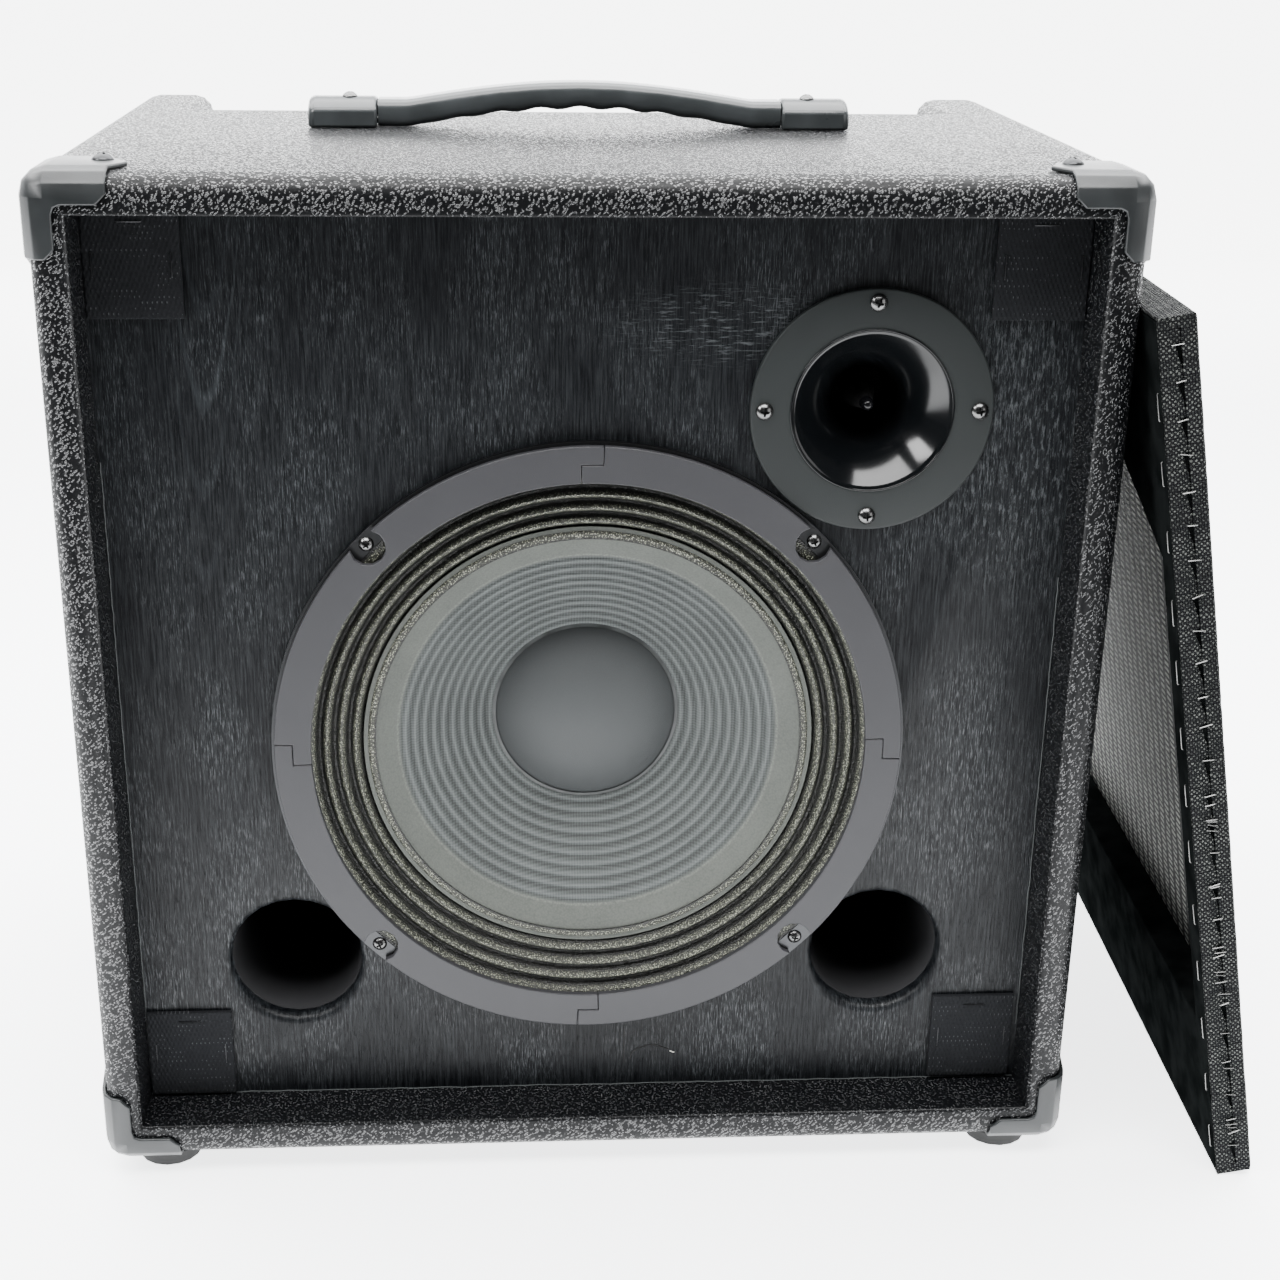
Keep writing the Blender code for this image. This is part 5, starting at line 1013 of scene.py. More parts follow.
def strap_section(across, angle):
    """A point of the strap's outline at a place along it."""
    arch = math.cos(min(abs(across) / ARCH, 1.0) * math.pi / 2)
    top = END_TALL + (CROWN - END_TALL) * arch
    wave = 0.8 * MM * math.cos(2 * math.pi * across / FINGER_WAVE)
    under = LIFT + (CROWN - THICK - LIFT + wave) * arch
    side = math.copysign(abs(math.cos(angle)) ** 0.45, math.cos(angle))
    lift = math.copysign(abs(math.sin(angle)) ** 0.62, math.sin(angle))
    height = (top + under) / 2 + lift * (top - under) / 2
    return Vector((STRAP_MIDDLE + across, STRAP_BACK + side * STRAP_WIDE / 2, TOP + height))


def strap_shape(stations=72, sides=32):
    shape = bmesh.new()
    ring = bmesh.ops.create_circle(shape, cap_ends=True, segments=sides, radius=0.01)["verts"]
    for number in range(stations + 1):
        if number:
            border = [edge for edge in shape.edges if all(end in ring for end in edge.verts)]
            grown = bmesh.ops.extrude_edge_only(shape, edges=border)["geom"]
            ring = [item for item in grown if isinstance(item, bmesh.types.BMVert)]
        for place, corner in enumerate(ring):
            across = STRAP_HALF * (2 * number / stations - 1)
            corner.co = strap_section(across, 2 * math.pi * place / sides)
    bmesh.ops.contextual_create(shape, geom=ring)
    bmesh.ops.recalc_face_normals(shape, faces=shape.faces)
    return shape


strap = keep("strap_grip", strap_shape(), STRAP_PLASTIC, "strap", 50)
tongues = []
for side in (-1, 1):
    ends = sorted((side * (STRAP_HALF - 6 * MM), side * (STRAP_HALF + 20 * MM)))
    low = (STRAP_MIDDLE + ends[0], STRAP_BACK - TONGUE_HALF, TOP + 2 * MM)
    high = (STRAP_MIDDLE + ends[1], STRAP_BACK + TONGUE_HALF, TOP + 5 * MM)
    tongues.append(soft_box(low, high, 0.5 * MM))
keep("strap_tongues", joined(tongues), STRAP_PLASTIC, "strap")
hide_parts("handle_strap")

cap_screws = []
for side in ("left", "right"):
    node = "handle_cap_" + side
    refined(node, STRAP_PLASTIC, 1.4)
    inward = 1 if side == "left" else -1
    across = middle_of(node).x + inward * 3.5 * MM
    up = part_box(node)[1].z - 0.3 * MM
    cap_screws.append((Vector((across, STRAP_BACK - 1 * MM, up)), (0, 0, 1)))
screws("handle_screws", cap_screws, 4.0 * MM)
print("strap", round(2 * STRAP_HALF, 4), "long and", round(CROWN, 4), "high")

# %% [markdown]
# ## The woofer
# The surround's four rolls step down from the gasket to the cone. Spun from a cosine, they get the same
# soft crests and narrow valleys as the pressed cloth. The surround joins the fixed basket to the moving
# cone, but here it is one still piece that rides on no body.

# %% Spin the surround
def radius_of(node):
    """Half the width of a round CAD node."""
    low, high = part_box(node)
    return (high.x - low.x) / 2


OUT_OF_BAFFLE = Matrix.Rotation(math.pi / 2, 4, "X")
WOOFER_AXIS = Matrix.Translation(WOOFER) @ OUT_OF_BAFFLE
CONE_R = radius_of("cone")
LIP_R = CONE_R - 6 * MM
RIM_R = radius_of("surround")
ROLLS = 4
ROLL_END = ROLL_START - ROLLS * ROLL_PITCH
RIM_FACE = 2.9 * MM
GLUED_FACE = -5.8 * MM
CLOTH = 0.9 * MM
ROLL_SWING = 2.2 * MM
print("rolls end at", round(ROLL_END, 5), "cone lip", round(LIP_R, 5))


def surround_face(radius):
    """Height of the surround's face at a radius."""
    share = (ROLL_START - radius) / (ROLL_START - ROLL_END)
    if share <= 0:
        return RIM_FACE
    level = RIM_FACE - ROLL_SWING + (GLUED_FACE - RIM_FACE) * share
    return level + ROLL_SWING * math.cos(2 * math.pi * ROLLS * share)


radii = [ROLL_START - (ROLL_START - ROLL_END) * step / 64 for step in range(65)]
face_line = [(RIM_R, RIM_FACE)] + [(radius, surround_face(radius)) for radius in radii]
face_line.append((LIP_R, GLUED_FACE))
back_line = [(radius, height - CLOTH) for radius, height in reversed(face_line)]
surround = keep("surround_rolls", moved(spun(face_line + back_line, 144, True), WOOFER_AXIS),
                DOPED_CLOTH, None, 60)
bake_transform(surround)
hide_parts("surround")
print("surround from", len(face_line + back_line), "points")

# %% [markdown]
# The cone's ribs are pressed in the paper: rounded steps with a sharp valley between them, from
# the dust cap out to the plain band at the rim. Bump alone would leave the outline of the valleys
# straight, so the ribs are in the spun line itself.

# %% Spin the ribbed cone
NECK_R = 36 * MM
LIP_FACE = -7 * MM
CONE_DEEP = 50 * MM
RIB_HALF = 0.75 * MM
CONE_THICK = 1.2 * MM
CAP_R = radius_of("dust_cap")


def cone_face(radius):
    """Height of the cone's face at a radius, with its ribs."""
    share = (LIP_R - radius) / (LIP_R - NECK_R)
    level = LIP_FACE - CONE_DEEP * share
    if not CAP_R < radius < RIBS_END:
        return level
    return level + RIB_HALF * (1 - math.cos(2 * math.pi * (RIBS_END - radius) / RIB_PITCH))


radii = [LIP_R - (LIP_R - NECK_R) * step / 150 for step in range(151)]
cone_line = [(CONE_R, LIP_FACE)] + [(radius, cone_face(radius)) for radius in radii]
lip_back = LIP_FACE - CONE_THICK
cone_back = [(NECK_R, lip_back - CONE_DEEP), (LIP_R, lip_back), (CONE_R, lip_back)]
cone = keep("cone_ribs", moved(spun(cone_line + cone_back, 128, True), WOOFER_AXIS), CONE_PAPER,
            "cone", 60)
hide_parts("cone")
print("cone from", len(cone_line + cone_back), "points")

# %% [markdown]
# The cap is a shallow dome of felt, so its line is an arc whose radius follows from its width and
# its rise. A bead of glue runs round its foot and hides the seam, as it does on a real driver.

# %% Spin the cap and its glue
cap_rise = 18 * MM
cap_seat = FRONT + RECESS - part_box("dust_cap")[0].y - cap_rise
cap_radius = (CAP_R ** 2 + cap_rise ** 2) / (2 * cap_rise)
cap_angle = math.degrees(math.asin(CAP_R / cap_radius))
cap_centre = (0, cap_seat + cap_rise - cap_radius)
dome = bow(cap_centre, cap_radius, 90, 90 - cap_angle, 20)
inner_dome = bow(cap_centre, cap_radius - 1 * MM, 90 - cap_angle, 90, 12)
dome[0] = (0, dome[0][1])
inner_dome[-1] = (0, inner_dome[-1][1])
cap = keep("dust_cap_dome", moved(spun(dome + inner_dome, 96), WOOFER_AXIS), CAP_FELT, "cone",
           60)
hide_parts("dust_cap")
glue = [(CAP_R - 0.6 * MM, cap_seat + 1.4 * MM), (CAP_R + 0.6 * MM, cap_seat + 1.0 * MM),
        (CAP_R + 1.6 * MM, cap_seat + 0.9 * MM), (CAP_R + 0.5 * MM, cap_seat - 0.4 * MM)]
CAP_GLUE = moulded_finish("cap_glue", (0.020, 0.022, 0.022), (0.060, 0.064, 0.064), 0.40)
keep("cap_glue_ring", moved(spun(glue, 96, True), WOOFER_AXIS), CAP_GLUE, "cone")
print("cap rises", round(cap_rise, 4), "on a radius of", round(cap_radius, 4))

# %% [markdown]
# The basket and the four gasket pieces have their scoops and windows in the CAD, but their round
# edges are short straight lines there. Splitting those and pushing the new corners out to their
# circle makes the rings round. The motor hides behind the cone and is only painted.

# %% Round the basket and the gasket, and screw them down
def seats_round(axis, radius, height, first_turn):
    """Four places on a circle round an axis, for screws that look out of the baffle."""
    turns_round = [math.radians(first_turn + quarter * 90) for quarter in range(4)]
    spots = [Vector((radius * math.cos(turn), radius * math.sin(turn), height)) for turn in turns_round]
    return [(axis @ spot, (0, -1, 0)) for spot in spots]


refined("woofer_basket", DARK_STEEL, round_to=WOOFER)
for quarter in ("top_right", "top_left", "bottom_left", "bottom_right"):
    refined("gasket_" + quarter, GASKET_FIBRE, 0.45, round_to=WOOFER)
BOLT_CIRCLE = 151.2 * MM
screws("woofer_screws", seats_round(WOOFER_AXIS, BOLT_CIRCLE, 3 * MM, 45), 3.7 * MM)
repaint("voice_coil", COPPER)
repaint("spider", SPIDER_CLOTH)
repaint("magnet", FERRITE)
repaint("yoke", CHASSIS_STEEL)
print("woofer's axis at", [round(part, 4) for part in WOOFER])

# %% [markdown]
# ## The horn and the ports
# The horn's line runs over a flat flange, up a thin raised lip, and down a flare that opens faster
# and faster. A polished bowl mirrors the softboxes, so it needs a smooth spin with many steps.

# %% Spin the horn and its bullet
HORN_AXIS = Matrix.Translation(HORN) @ OUT_OF_BAFFLE
HORN_R = radius_of("horn")
MOUTH_R = 37.5 * MM
THROAT_R = 12.5 * MM
HORN_DEEP = 42 * MM
HORN_BACK_R = 26 * MM
HORN_WALL = 2.5 * MM
HORN_BOLTS = 51 * MM
HORN_FLARE = 2.2
FLANGE = 3 * MM
flare = []
for step in range(41):
    share = 1 - step / 40
    radius = THROAT_R + (MOUTH_R - THROAT_R) * share ** HORN_FLARE
    flare.append((radius, -HORN_DEEP + (HORN_DEEP + FLANGE) * share))
rim = bow((HORN_R - 1.2 * MM, FLANGE - 1.2 * MM), 1.2 * MM, 0, 90, 4)
mouth_lip = bow((MOUTH_R + 0.9 * MM, FLANGE), 0.6 * MM, 0, 180, 6)
horn_line = [(HORN_R, 0.3 * MM)] + rim + mouth_lip + flare
horn_line += [(HORN_BACK_R, -HORN_DEEP), (HORN_BACK_R, -HORN_DEEP + HORN_WALL),
              (THROAT_R + 4 * MM, -HORN_DEEP + 3.5 * MM)]
horn_line += [(radius + HORN_WALL, height) for radius, height in reversed(flare[4:-4:4])]
horn_line.append((40 * MM, 0.3 * MM))
horn = keep("horn_bowl", moved(spun(horn_line, 128, True), HORN_AXIS), HORN_MOULDING, "cabinet",
            40)
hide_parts("horn")
tip = bow((0, -11 * MM), 2.8 * MM, 90, 10, 6)
tip[0] = (0, tip[0][1])
driver_line = tip + mm((4.5, -22), (8, -38), (8, -42.3), (32, -42.3), (32, -80.3), (0, -80.3))
driver = keep("horn_driver_bullet", moved(spun(driver_line, 64), HORN_AXIS), bullet_finish(),
              "cabinet")
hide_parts("horn_driver")
screws("horn_screws", seats_round(HORN_AXIS, HORN_BOLTS, FLANGE - 0.1 * MM, 0), 4.3 * MM)
for side in ("left", "right"):
    refined("port_tube_" + side, CARDBOARD)
print("horn radius", round(HORN_R, 4), "from", len(horn_line), "points")

# %% [markdown]
# ## The loop pads
# Four squares of loop fastener are stapled to the baffle. Their face is a low forest of loops, so
# a fine grid is lifted by noise, and three short staples near its edges hold each pad.

# %% Raise the loops and drive the staples
def staple(matrix, length, radius=0.28 * MM, rise=0.5 * MM):
    """A staple's crown and the bends at its ends."""
    half = length / 2
    points = [(-half, 0, -1 * MM), (-half, 0, rise * 0.6), (-half + 0.5 * MM, 0, rise),
              (half - 0.5 * MM, 0, rise), (half, 0, rise * 0.6), (half, 0, -1 * MM)]
    return wire([matrix @ Vector(point) for point in points], radius)


pad_staples = []
for corner in ("top_left", "top_right", "bottom_left", "bottom_right"):
    node = "loop_pad_" + corner
    low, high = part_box(node)
    size = high - low
    shape = soft_box(low, high, 0.6 * MM, 2)
    long_edges = [edge for edge in shape.edges if edge.calc_length() > 10 * MM]
    bmesh.ops.subdivide_edges(shape, edges=long_edges, cuts=30, use_grid_fill=True)
    for point in shape.verts:
        if point.co.y < low.y + 0.3 * MM:
            tuft = noise.noise(point.co * 900) * 0.35 * MM + noise.noise(point.co * 130) * 0.25 * MM
            point.co.y += max(0.0, tuft)
    piece = keep(node + "_loops", shape, LOOP_FELT, "cabinet", 80)
    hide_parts(node)
    centre = (low + high) / 2
    sideways = size.x / 2 - 4 * MM
    for reach, turn in ((size.z / 2 - 5 * MM, 0), (sideways, 90), (sideways, 270)):
        angle = math.radians(turn)
        spot = Vector((centre.x + reach * math.sin(angle), low.y, centre.z + reach * math.cos(angle)))
        lie = facing(spot, (0, -1, 0)) @ Matrix.Rotation(angle, 4, "Z")
        pad_staples.append(staple(lie, 11 * MM, 0.22 * MM, 0.3 * MM))
keep("pad_staples", joined(pad_staples), DARK_STEEL, "cabinet")
print("pad staples", len(pad_staples))

# %% [markdown]
# ## The controls in the rear bay
# The photograph doesn't show them, but whoever walks round the amplifier sees them. The panel
# slopes, so its own axes are read from the largest face of its CAD node. Everything on it is then
# placed along those axes, and no angle is typed by hand.

# %% Find how the panel lies
def lie_of(node, outward):
    """Axes of a flat CAD node: along it, up it and out of it, from its low corner, with its size."""
    mesh = frame["nodes"][node].data
    outward = Vector(outward)
    out = max(mesh.polygons, key=lambda face: face.area if face.normal.dot(outward) > 0 else 0).normal
    along = Vector((0, 0, 1)).cross(out).normalized()
    if along.x + along.y < 0:
        along = -along
    rise = out.cross(along)
    axes = (along, rise, out.copy())
    spans = [[corner.co.dot(axis) for corner in mesh.vertices] for axis in axes]
    matrix = Matrix(axes).transposed().to_4x4()
    matrix.translation = matrix.to_3x3() @ Vector([min(span) for span in spans])
    return matrix, [max(span) - min(span) for span in spans]


panel_axes, panel_size = lie_of("control_panel", (0, 0, 1))
PANEL_UP = Vector(panel_axes.col[2][:3])
refined("control_panel", PANEL_PAINT, 0.3)
refined("chassis", CHASSIS_STEEL, 0.3)
repaint("circuit_board", FIBRE_BOARD)
repaint("heatsink", CHASSIS_STEEL)
repaint("mains_transformer", FERRITE)


def panel_place(node):
    """Where a control's axis meets the panel's face."""
    local = panel_axes.inverted() @ middle_of(node)
    return panel_axes @ Vector((local.x, local.y, panel_size[2]))


print("panel", [round(side, 4) for side in panel_size])

# %% [markdown]
# ## Knobs and switches
# A knob is turned in one piece, so it is spun, and its grip is then fluted by moving the wall in
# and out round the axis. Cutting flutes with booleans would give ragged faces for the same look.
# The marks round each knob are flat slips of paint without numbers.

# %% Spin the knobs and set the switches
def knob_shape():
    """A fluted knob with a skirt, standing on z = 0."""
    grip = mm((0, 14.2), (7.0, 14.2), (7.9, 13.6), (8.2, 12.6), (8.5, 4.2))
    skirt = mm((9.2, 3.6), (10.5, 3.0), (10.8, 2.2), (10.8, 0))
    shaft = mm((3.0, 0), (3.0, -9.8), (0, -9.8))
    shape = spun(grip + skirt + shaft, 72)
    for corner in shape.verts:
        reach = math.hypot(corner.co.x, corner.co.y)
        if 7.5 * MM < reach < 8.9 * MM:
            turn = math.atan2(corner.co.y, corner.co.x)
            draw = 1 - 0.035 * (0.5 + 0.5 * math.cos(18 * turn))
            corner.co.x *= draw
            corner.co.y *= draw
    return shape


marks = []
for node in ("knob_gain", "knob_bass", "knob_middle", "knob_treble", "knob_volume"):
    seat = panel_place(node)
    axes = panel_axes.copy()
    axes.translation = seat + PANEL_UP * 0.8 * MM
    piece = keep(node + "_grip", moved(knob_shape(), axes), KNOB_PLASTIC, node, 35)
    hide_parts(node)
    line = soft_box(*mm((-0.5, 2.0, 13.9), (0.5, 7.4, 14.5)), 0.15 * MM)
    half_turn = Matrix.Rotation(math.pi, 4, "Z")
    keep(node + "_pointer", moved(line, axes @ half_turn), DIAL_PAINT, node)
    axes.translation = seat
    for step in range(11):
        turn = Matrix.Rotation(math.radians(-150 + 30 * step), 4, "Z")
        mark = soft_box(*mm((-0.3, -15.2, 0.0), (0.3, -12.6, 0.12)), 0.04 * MM, 1)
        marks.append(moved(mark, axes @ turn))
keep("dial_marks", joined(marks), DIAL_PAINT, "cabinet")
for side in ("left", "right"):
    refined("push_button_" + side, BUTTON_PLASTIC, 0.3)
refined("switch_housing", SOCKET_PLASTIC, 0.4)
refined("rocker", SOCKET_PLASTIC, 0.4)
print("dial marks", len(marks))

# %% [markdown]
# ## Sockets and the back
# The jack, the line socket and the mains inlet take their shapes from the CAD and get soft edges.
# Their screws sit on both sides of each middle, and the back panel has a row along each edge.

# %% Jack, sockets and the screws round them
jack_axes = panel_axes.copy()
jack_axes.translation = panel_place("input_jack")
refined("input_jack", NICKEL, 0.3)
washer = mm((4.8, 0.05), (4.8, 0.6), (8.4, 0.6), (8.8, 0.3), (8.8, 0.05))
keep("jack_washer", moved(spun(washer, 48, True), jack_axes), NICKEL, "cabinet")
refined("di_socket", NICKEL, 0.4)
refined("mains_inlet", SOCKET_PLASTIC, 0.4)
rear_screws = []
for node, across, up in (("di_socket", 9.5 * MM, 12.5 * MM), ("mains_inlet", 20 * MM, 0.0)):
    middle = middle_of(node)
    middle.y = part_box(node)[1].y
    for side in (-1, 1):
        rear_screws.append((middle + side * Vector((across, 0, up)), (0, 1, 0)))
screws("socket_screws", rear_screws, 2.6 * MM)
panel_low, panel_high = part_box("back_panel")
OUTER, INNER = 208 * MM, 70 * MM
edge_rows = (panel_low.z + 10 * MM, panel_high.z - 10 * MM)
middle_rows = (panel_low.z + 130 * MM, panel_high.z - 130 * MM)
screw_spots = [(across, up) for across in (-OUTER, -INNER, INNER, OUTER) for up in edge_rows]
screw_spots += [(across, up) for up in middle_rows for across in (-OUTER, OUTER)]
panel_screws = [(Vector((MIDDLE + across, panel_high.y, up)), (0, 1, 0)) for across, up in screw_spots]
screws("back_panel_screws", panel_screws, 4.2 * MM, DARK_STEEL)
for across in (12 * MM, panel_size[0] - 12 * MM):
    for up in (10 * MM, panel_size[1] - 10 * MM):
        spot = panel_axes @ Vector((across, up, panel_size[2]))
        name = "panel_screw_%d_%d" % (across * 1000, up * 1000)
        screws(name, [(spot, PANEL_UP)], 3.2 * MM, DARK_STEEL)
print("screws in the back", len(panel_screws), "and by the sockets", len(rear_screws))

# %% [markdown]
# ## The grille
# Grille cloth is woven from thick crossing threads, and light comes through between them. A thread
# each would take millions of faces, so two waves that cross draw the weave, and noise bends them.
# The weave lies in the cloth's own UV map, where one unit is a metre. From inside, the light coming
# through the weave is painted on the floats of the threads as pale groups, so the back has a finish of
# its own.

# %% Weave the cloth
THREAD = 1.25


def weave_finish():
    """Crossing threads, with painted sheen on alternate rows where they rise and painted shade in the
    gaps between them.
    """
    cloth = Finish("speaker_cloth", roughness=0.7, shine=0.04)
    place = cloth.ruler((THREAD, THREAD, METRE), source="UV")
    wander = cloth.shifted(cloth.shifted(place, 0.9, 0.35), 0.35, 1.1)
    crossing = cloth.ripple(wander, 0) * cloth.ripple(wander, 1)
    height = crossing.size() ** 0.5
    rows = cloth.ripple(wander, 1, 1.1).size().over(0.15, 0.45)
    lifted = crossing.over(-0.1, 0.25) * rows
    fuzz = cloth.mottle((0.4, 0.4, METRE), 3.0, 0.7, "UV")
    # Painted shade darkens the gaps between the threads, and painted sheen lightens the raised threads
    # in patches.
    dark = cloth.blend(height, (0.002, 0.002, 0.0025), (0.012, 0.013, 0.014))
    painted_sheen_patches = cloth.mottle((9, 9, METRE), 3.0, 0.6, "UV").over(0.35, 0.65)
    painted_thread_sheen = lifted * height * (0.25 + painted_sheen_patches * 0.75)
    cloth.give("Base Color", cloth.blend(painted_thread_sheen, dark, (0.13, 0.136, 0.127)))
    cloth.give("Roughness", 0.62 + fuzz * 0.2)
    cloth.emboss(height + lifted * 0.6 + fuzz * 0.3, 0.7)
    return cloth


def cloth_back_finish():
    """The cloth from inside: the light that comes through between groups of threads is painted on as
    pale dashes.
    """
    cloth = Finish("speaker_cloth_back", roughness=0.8)
    place = cloth.ruler((12, 3.4, METRE), source="UV")
    wander = cloth.shifted(cloth.shifted(place, 0.3, 0.3), 0.22, 1.6)
    across = cloth.ripple(wander, 0).size()
    down = cloth.ripple(wander, 1).size()
    floats = across.over(0.35, 0.75) * down.over(0.45, 0.85)
    uneven = cloth.mottle((16, 16, METRE), source="UV")
    # The pale groups are painted light that stands in for the light coming through the cloth.
    light = floats * (0.45 + uneven * 0.7)
    cloth.give("Base Color", cloth.blend(light, (0.0012, 0.0015, 0.0015), (0.27, 0.278, 0.25)))
    cloth.emboss(floats, 0.8)
    return cloth


SPEAKER_CLOTH = weave_finish()
CLOTH_BACK = cloth_back_finish()
print("threads", THREAD, "mm apart")

# %% [markdown]
# ## The sheet over the frame
# The cloth is one sheet: it covers the board's front, turns over the edges and ends on them. It
# starts as a fine grid whose border is pushed back in steps, because a real cloth is folded and
# not cut there. The UV map is laid before the sheet is crumpled, so the weave stays square.

# %% Stretch the cloth over its frame
grille_axes, grille_size = lie_of("grille_cloth", (1, 0, 0))
GRILLE = grille_size[0]
GRILLE_THICK = grille_size[2]
GRID = 120
EDGE_STEPS = 8
FLAP = 6.8 * MM


def thickened(piece, thickness):
    """Gives a sheet its thickness, inwards from its face."""
    wall = piece.modifiers.new("cloth", "SOLIDIFY")
    wall.thickness = thickness
    wall.offset = -1
    return wall


def side_of(value):
    """-1 or 1 on the sheet's two borders, 0 between them."""
    if 1.6 * MM < value < GRILLE - 1.6 * MM:
        return 0
    return math.copysign(1, value - GRILLE / 2)


def cloth_sheet():
    """The outer face as a grid, its border turned back over the four edges."""
    shape = bmesh.new()
    bmesh.ops.create_grid(shape, x_segments=GRID, y_segments=GRID, size=0.5)
    bmesh.ops.scale(shape, vec=(GRILLE - 3 * MM, GRILLE - 3 * MM, 1), verts=shape.verts)
    bmesh.ops.translate(shape, vec=(GRILLE / 2, GRILLE / 2, GRILLE_THICK), verts=shape.verts)
    border = [edge for edge in shape.edges if edge.is_boundary]
    for step in range(EDGE_STEPS):
        grown = bmesh.ops.extrude_edge_only(shape, edges=border)["geom"]
        corners = [item for item in grown if isinstance(item, bmesh.types.BMVert)]
        border = [item for item in grown if isinstance(item, bmesh.types.BMEdge) and item.is_boundary]
        for corner in corners:
            out = [side_of(value) for value in corner.co.xy]
            flap = FLAP if out == [-1, 0] else GRILLE_THICK - 1.4 * MM
            reach, drop = (0.75 * MM, 0.5 * MM) if step < 2 else (0.0, flap / (EDGE_STEPS - 2))
            corner.co += Vector((out[0] * reach, out[1] * reach, -drop))
    bmesh.ops.recalc_face_normals(shape, faces=shape.faces)
    return shape


def lay_weave(shape):
    """Gives the sheet a UV map in metres, square to the threads on every side."""
    woven = shape.loops.layers.uv.new("weave")
    for face in shape.faces:
        for loop in face.loops:
            spot = loop.vert.co
            fold = GRILLE_THICK - spot.z
            if abs(face.normal.z) > 0.7:
                loop[woven].uv = (spot.x, spot.y)
            elif abs(face.normal.x) > abs(face.normal.y):
                loop[woven].uv = (fold, spot.y)
            else:
                loop[woven].uv = (spot.x, fold)


def crumple(shape, depth):
    """Pulls the cloth's edges in and out, as its staples do."""
    middle = Vector((GRILLE / 2, GRILLE / 2, 0))
    for corner in shape.verts:
        fine = noise.noise(corner.co * 240) * 0.3
        waves = noise.noise(Vector((corner.co.x + corner.co.z, corner.co.y - corner.co.z, 0)) * 120)
        if corner.co.z < GRILLE_THICK - 1 * MM:
            inward = middle - corner.co
            inward.z = 0
            corner.co += inward.normalized() * abs(waves + fine) * depth
        else:
            corner.co.z -= abs(waves * 0.3 + fine) * depth


sheet_shape = cloth_sheet()
lay_weave(sheet_shape)
crumple(sheet_shape, 1.0 * MM)
cloth = keep("grille_cloth_sheet", moved(sheet_shape, grille_axes), SPEAKER_CLOTH, "grille",
             60)
cloth.data.materials.append(CLOTH_BACK.material)
thickened(cloth, 1.2 * MM).material_offset = 1
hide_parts("grille_cloth")
refined("grille_frame", GRILLE_PAINT, 0.8)
print("grille", [round(part, 4) for part in grille_size])

# %% [markdown]
# On the near edge the cloth's cut border lies as a row of teeth, each pulled to its own staple. It
# was turned in from the inner side, and a dark wedge of board shows between it and the flap that
# comes over from the outer side. The strip is a grid whose free border is drawn as a saw.

# %% Lay the toothed hem and its staples
TOOTH = 17 * MM
HEM_LOW = 7.4 * MM
HEM_HIGH = 11.6 * MM


def tooth_phase(along):
    """0 at the top of a tooth and 1 at its tip, with teeth of uneven length."""
    uneven = along + 3 * MM * noise.noise(Vector((along * 30, 0, 4)))
    return 1 - (uneven / TOOTH) % 1.0


def toothed_hem():
    """The strip as a grid, standing on the frame's inner edge."""
    shape = bmesh.new()
    bmesh.ops.create_grid(shape, x_segments=380, y_segments=9, size=0.5)
    woven = shape.loops.layers.uv.new("weave")
    for corner in shape.verts:
        along = 1 * MM + (corner.co.x + 0.5) * (GRILLE - 2 * MM)
        share = corner.co.y + 0.5
        phase = tooth_phase(along)
        ragged = 0.5 * MM * noise.noise(Vector((along * 400, 1, 1)))
        width = HEM_LOW + (HEM_HIGH - HEM_LOW) * phase + ragged
        pull = 0.7 * MM * phase * share ** 3
        puff = 0.5 + noise.noise(Vector((along * 90, 2, 5)))
        bulge = 0.6 * MM * math.sin(math.pi * min(share * 1.15, 1.0)) * puff * (1 - phase * 0.5)
        corner.co = Vector((0.3 * MM + pull - bulge, along, 0.2 * MM + width * share))
    for face in shape.faces:
        for loop in face.loops:
            loop[woven].uv = (loop.vert.co.z, loop.vert.co.y)
    bmesh.ops.recalc_face_normals(shape, faces=shape.faces)
    if sum(face.normal.x for face in shape.faces) > 0:
        bmesh.ops.reverse_faces(shape, faces=shape.faces)
    return shape


hem = keep("grille_hem", moved(toothed_hem(), grille_axes), SPEAKER_CLOTH, "grille",
           60)
thickened(hem, 0.9 * MM)


def frame_staple(spot, out, along, lean, length):
    """A staple in the frame that faces out along one of its axes and leans from another."""
    lie = facing(grille_axes @ Vector(spot), -grille_axes.col[out].xyz)
    rise = lie.inverted().to_3x3() @ grille_axes.col[along].xyz
    turn = math.atan2(rise.y, rise.x) + lean
    return staple(lie @ Matrix.Rotation(turn, 4, "Z"), length)


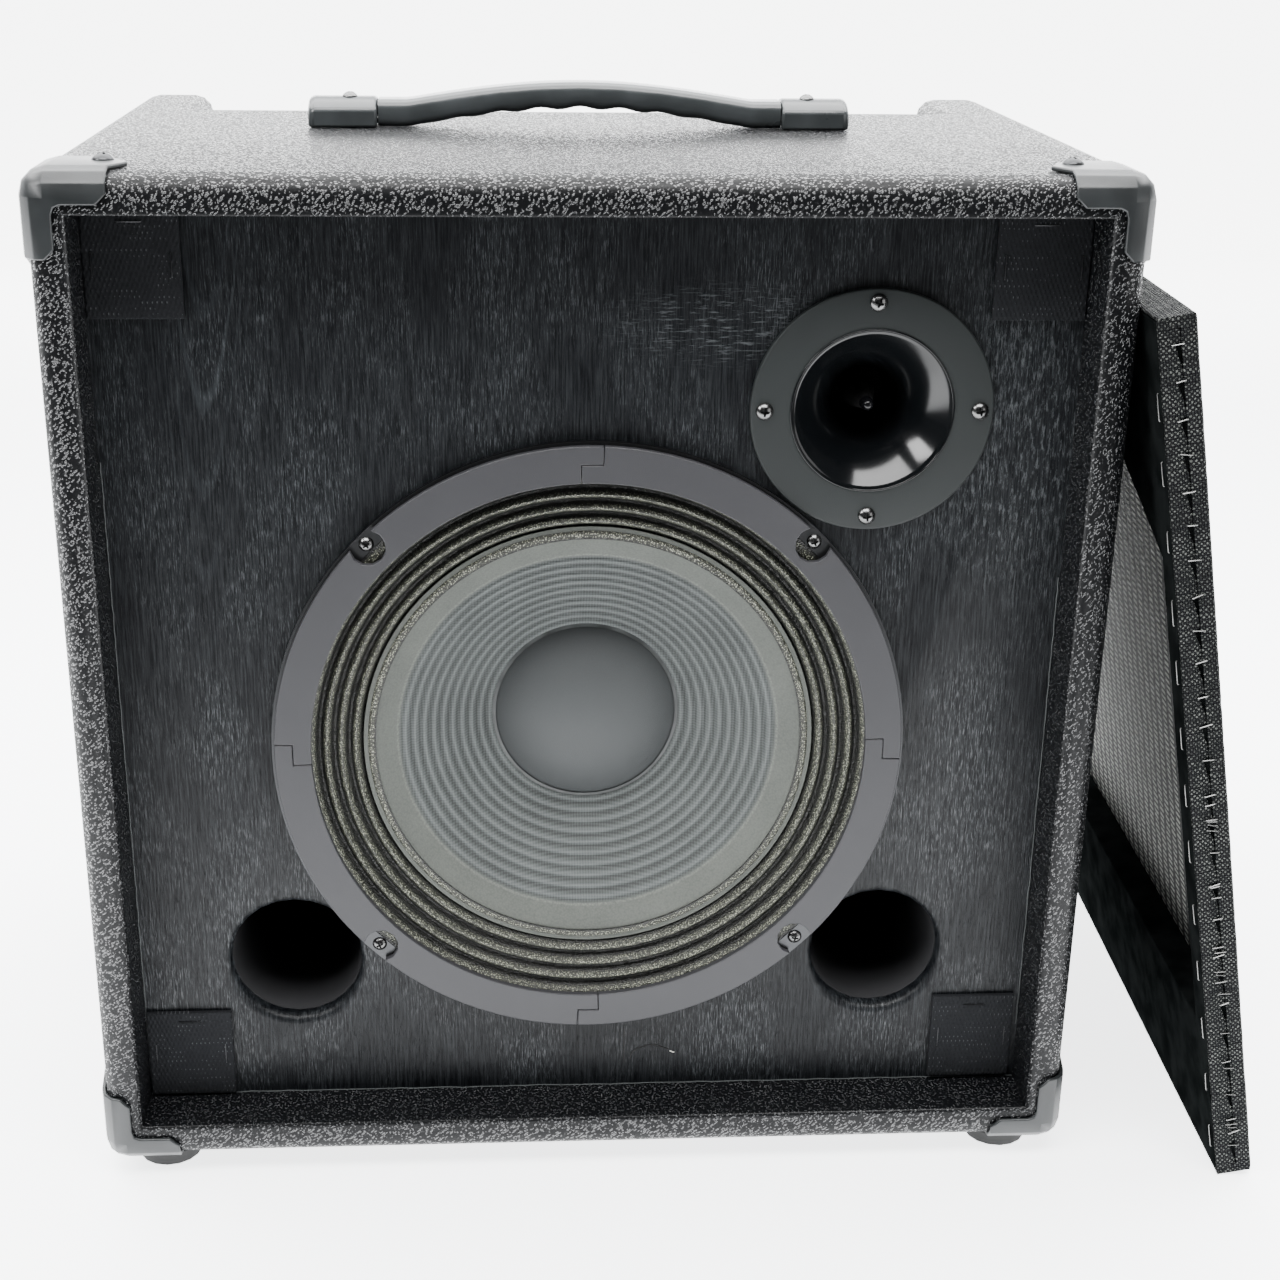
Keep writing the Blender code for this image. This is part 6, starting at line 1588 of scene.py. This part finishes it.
chance = random.Random(11)
hem_staples = []
inner_staples = []
place = 12 * MM
while place < GRILLE - 8 * MM:
    jump = abs(tooth_phase(place + 1 * MM) - tooth_phase(place))
    if jump > 0.5 or (place < 0.5 * GRILLE and chance.random() < 0.07):
        spot = (0.0, place, chance.uniform(8.6, 10.2) * MM)
        hem_staples.append(frame_staple(spot, 0, 2, chance.uniform(-0.25, 0.25),
                                        chance.uniform(4.2, 6.0) * MM))
    place += 1 * MM
place = 20 * MM
while place < GRILLE - 20 * MM:
    spot = (chance.uniform(5.2, 7.0) * MM, place, 0.0)
    inner_staples.append(frame_staple(spot, 2, 1, chance.uniform(-0.1, 0.1),
                                      chance.uniform(10, 13) * MM))
    place += chance.uniform(30, 36) * MM
hem_wires = keep("hem_staples", joined(hem_staples), STAPLE_WIRE, "grille")
keep("grille_staples", joined(inner_staples), STAPLE_WIRE, "grille")
flat_side = GRILLE + 2 * GRILLE_THICK

print("staples", len(hem_staples), "on the hem,", len(inner_staples), "inside")

# %% [markdown]
# ## The paper floor
# White paper runs far back, and there it glows with painted light that stands in for the studio's wall
# lighting it. Towards the camera its colour and its glow fall off to grey, painted shade which keeps
# the underside and the front of the cabinet dark, as in the photograph. It belongs to the stage, so it
# isn't part of the amplifier.

# %% Roll out the paper
floor_shape = bmesh.new()
bmesh.ops.create_grid(floor_shape, x_segments=1, y_segments=1, size=40)
floor = placed("floor", floor_shape)
PAPER = Finish("white_paper", colour=(0.86, 0.87, 0.88), roughness=0.9)
inward = PAPER.part_of(PAPER.ruler(METRE), 1)
away = inward.over(-0.90, -0.47)
# Darker base colour towards the camera: painted shade on the paper.
PAPER.give("Base Color", PAPER.blend(away, (0.08, 0.08, 0.08), (0.86, 0.87, 0.88)))
painted_far_glow_share = inward.over(1.2, 2.8)
painted_near_glow = PAPER.blend(away, (0.02, 0.02, 0.02), (1.50, 1.52, 1.54))
# The paper's emission is painted light, brightest far back and fading towards the camera.
PAPER.give("Emission Color", PAPER.blend(painted_far_glow_share, painted_near_glow, (2.6, 2.62, 2.6)))
PAPER.give("Emission Strength", 2.2)
floor.data.materials.append(PAPER.material)
floor.location.z = -0.2 * MM
print("meshes in the scene", len(bpy.data.meshes))

# %% [markdown]
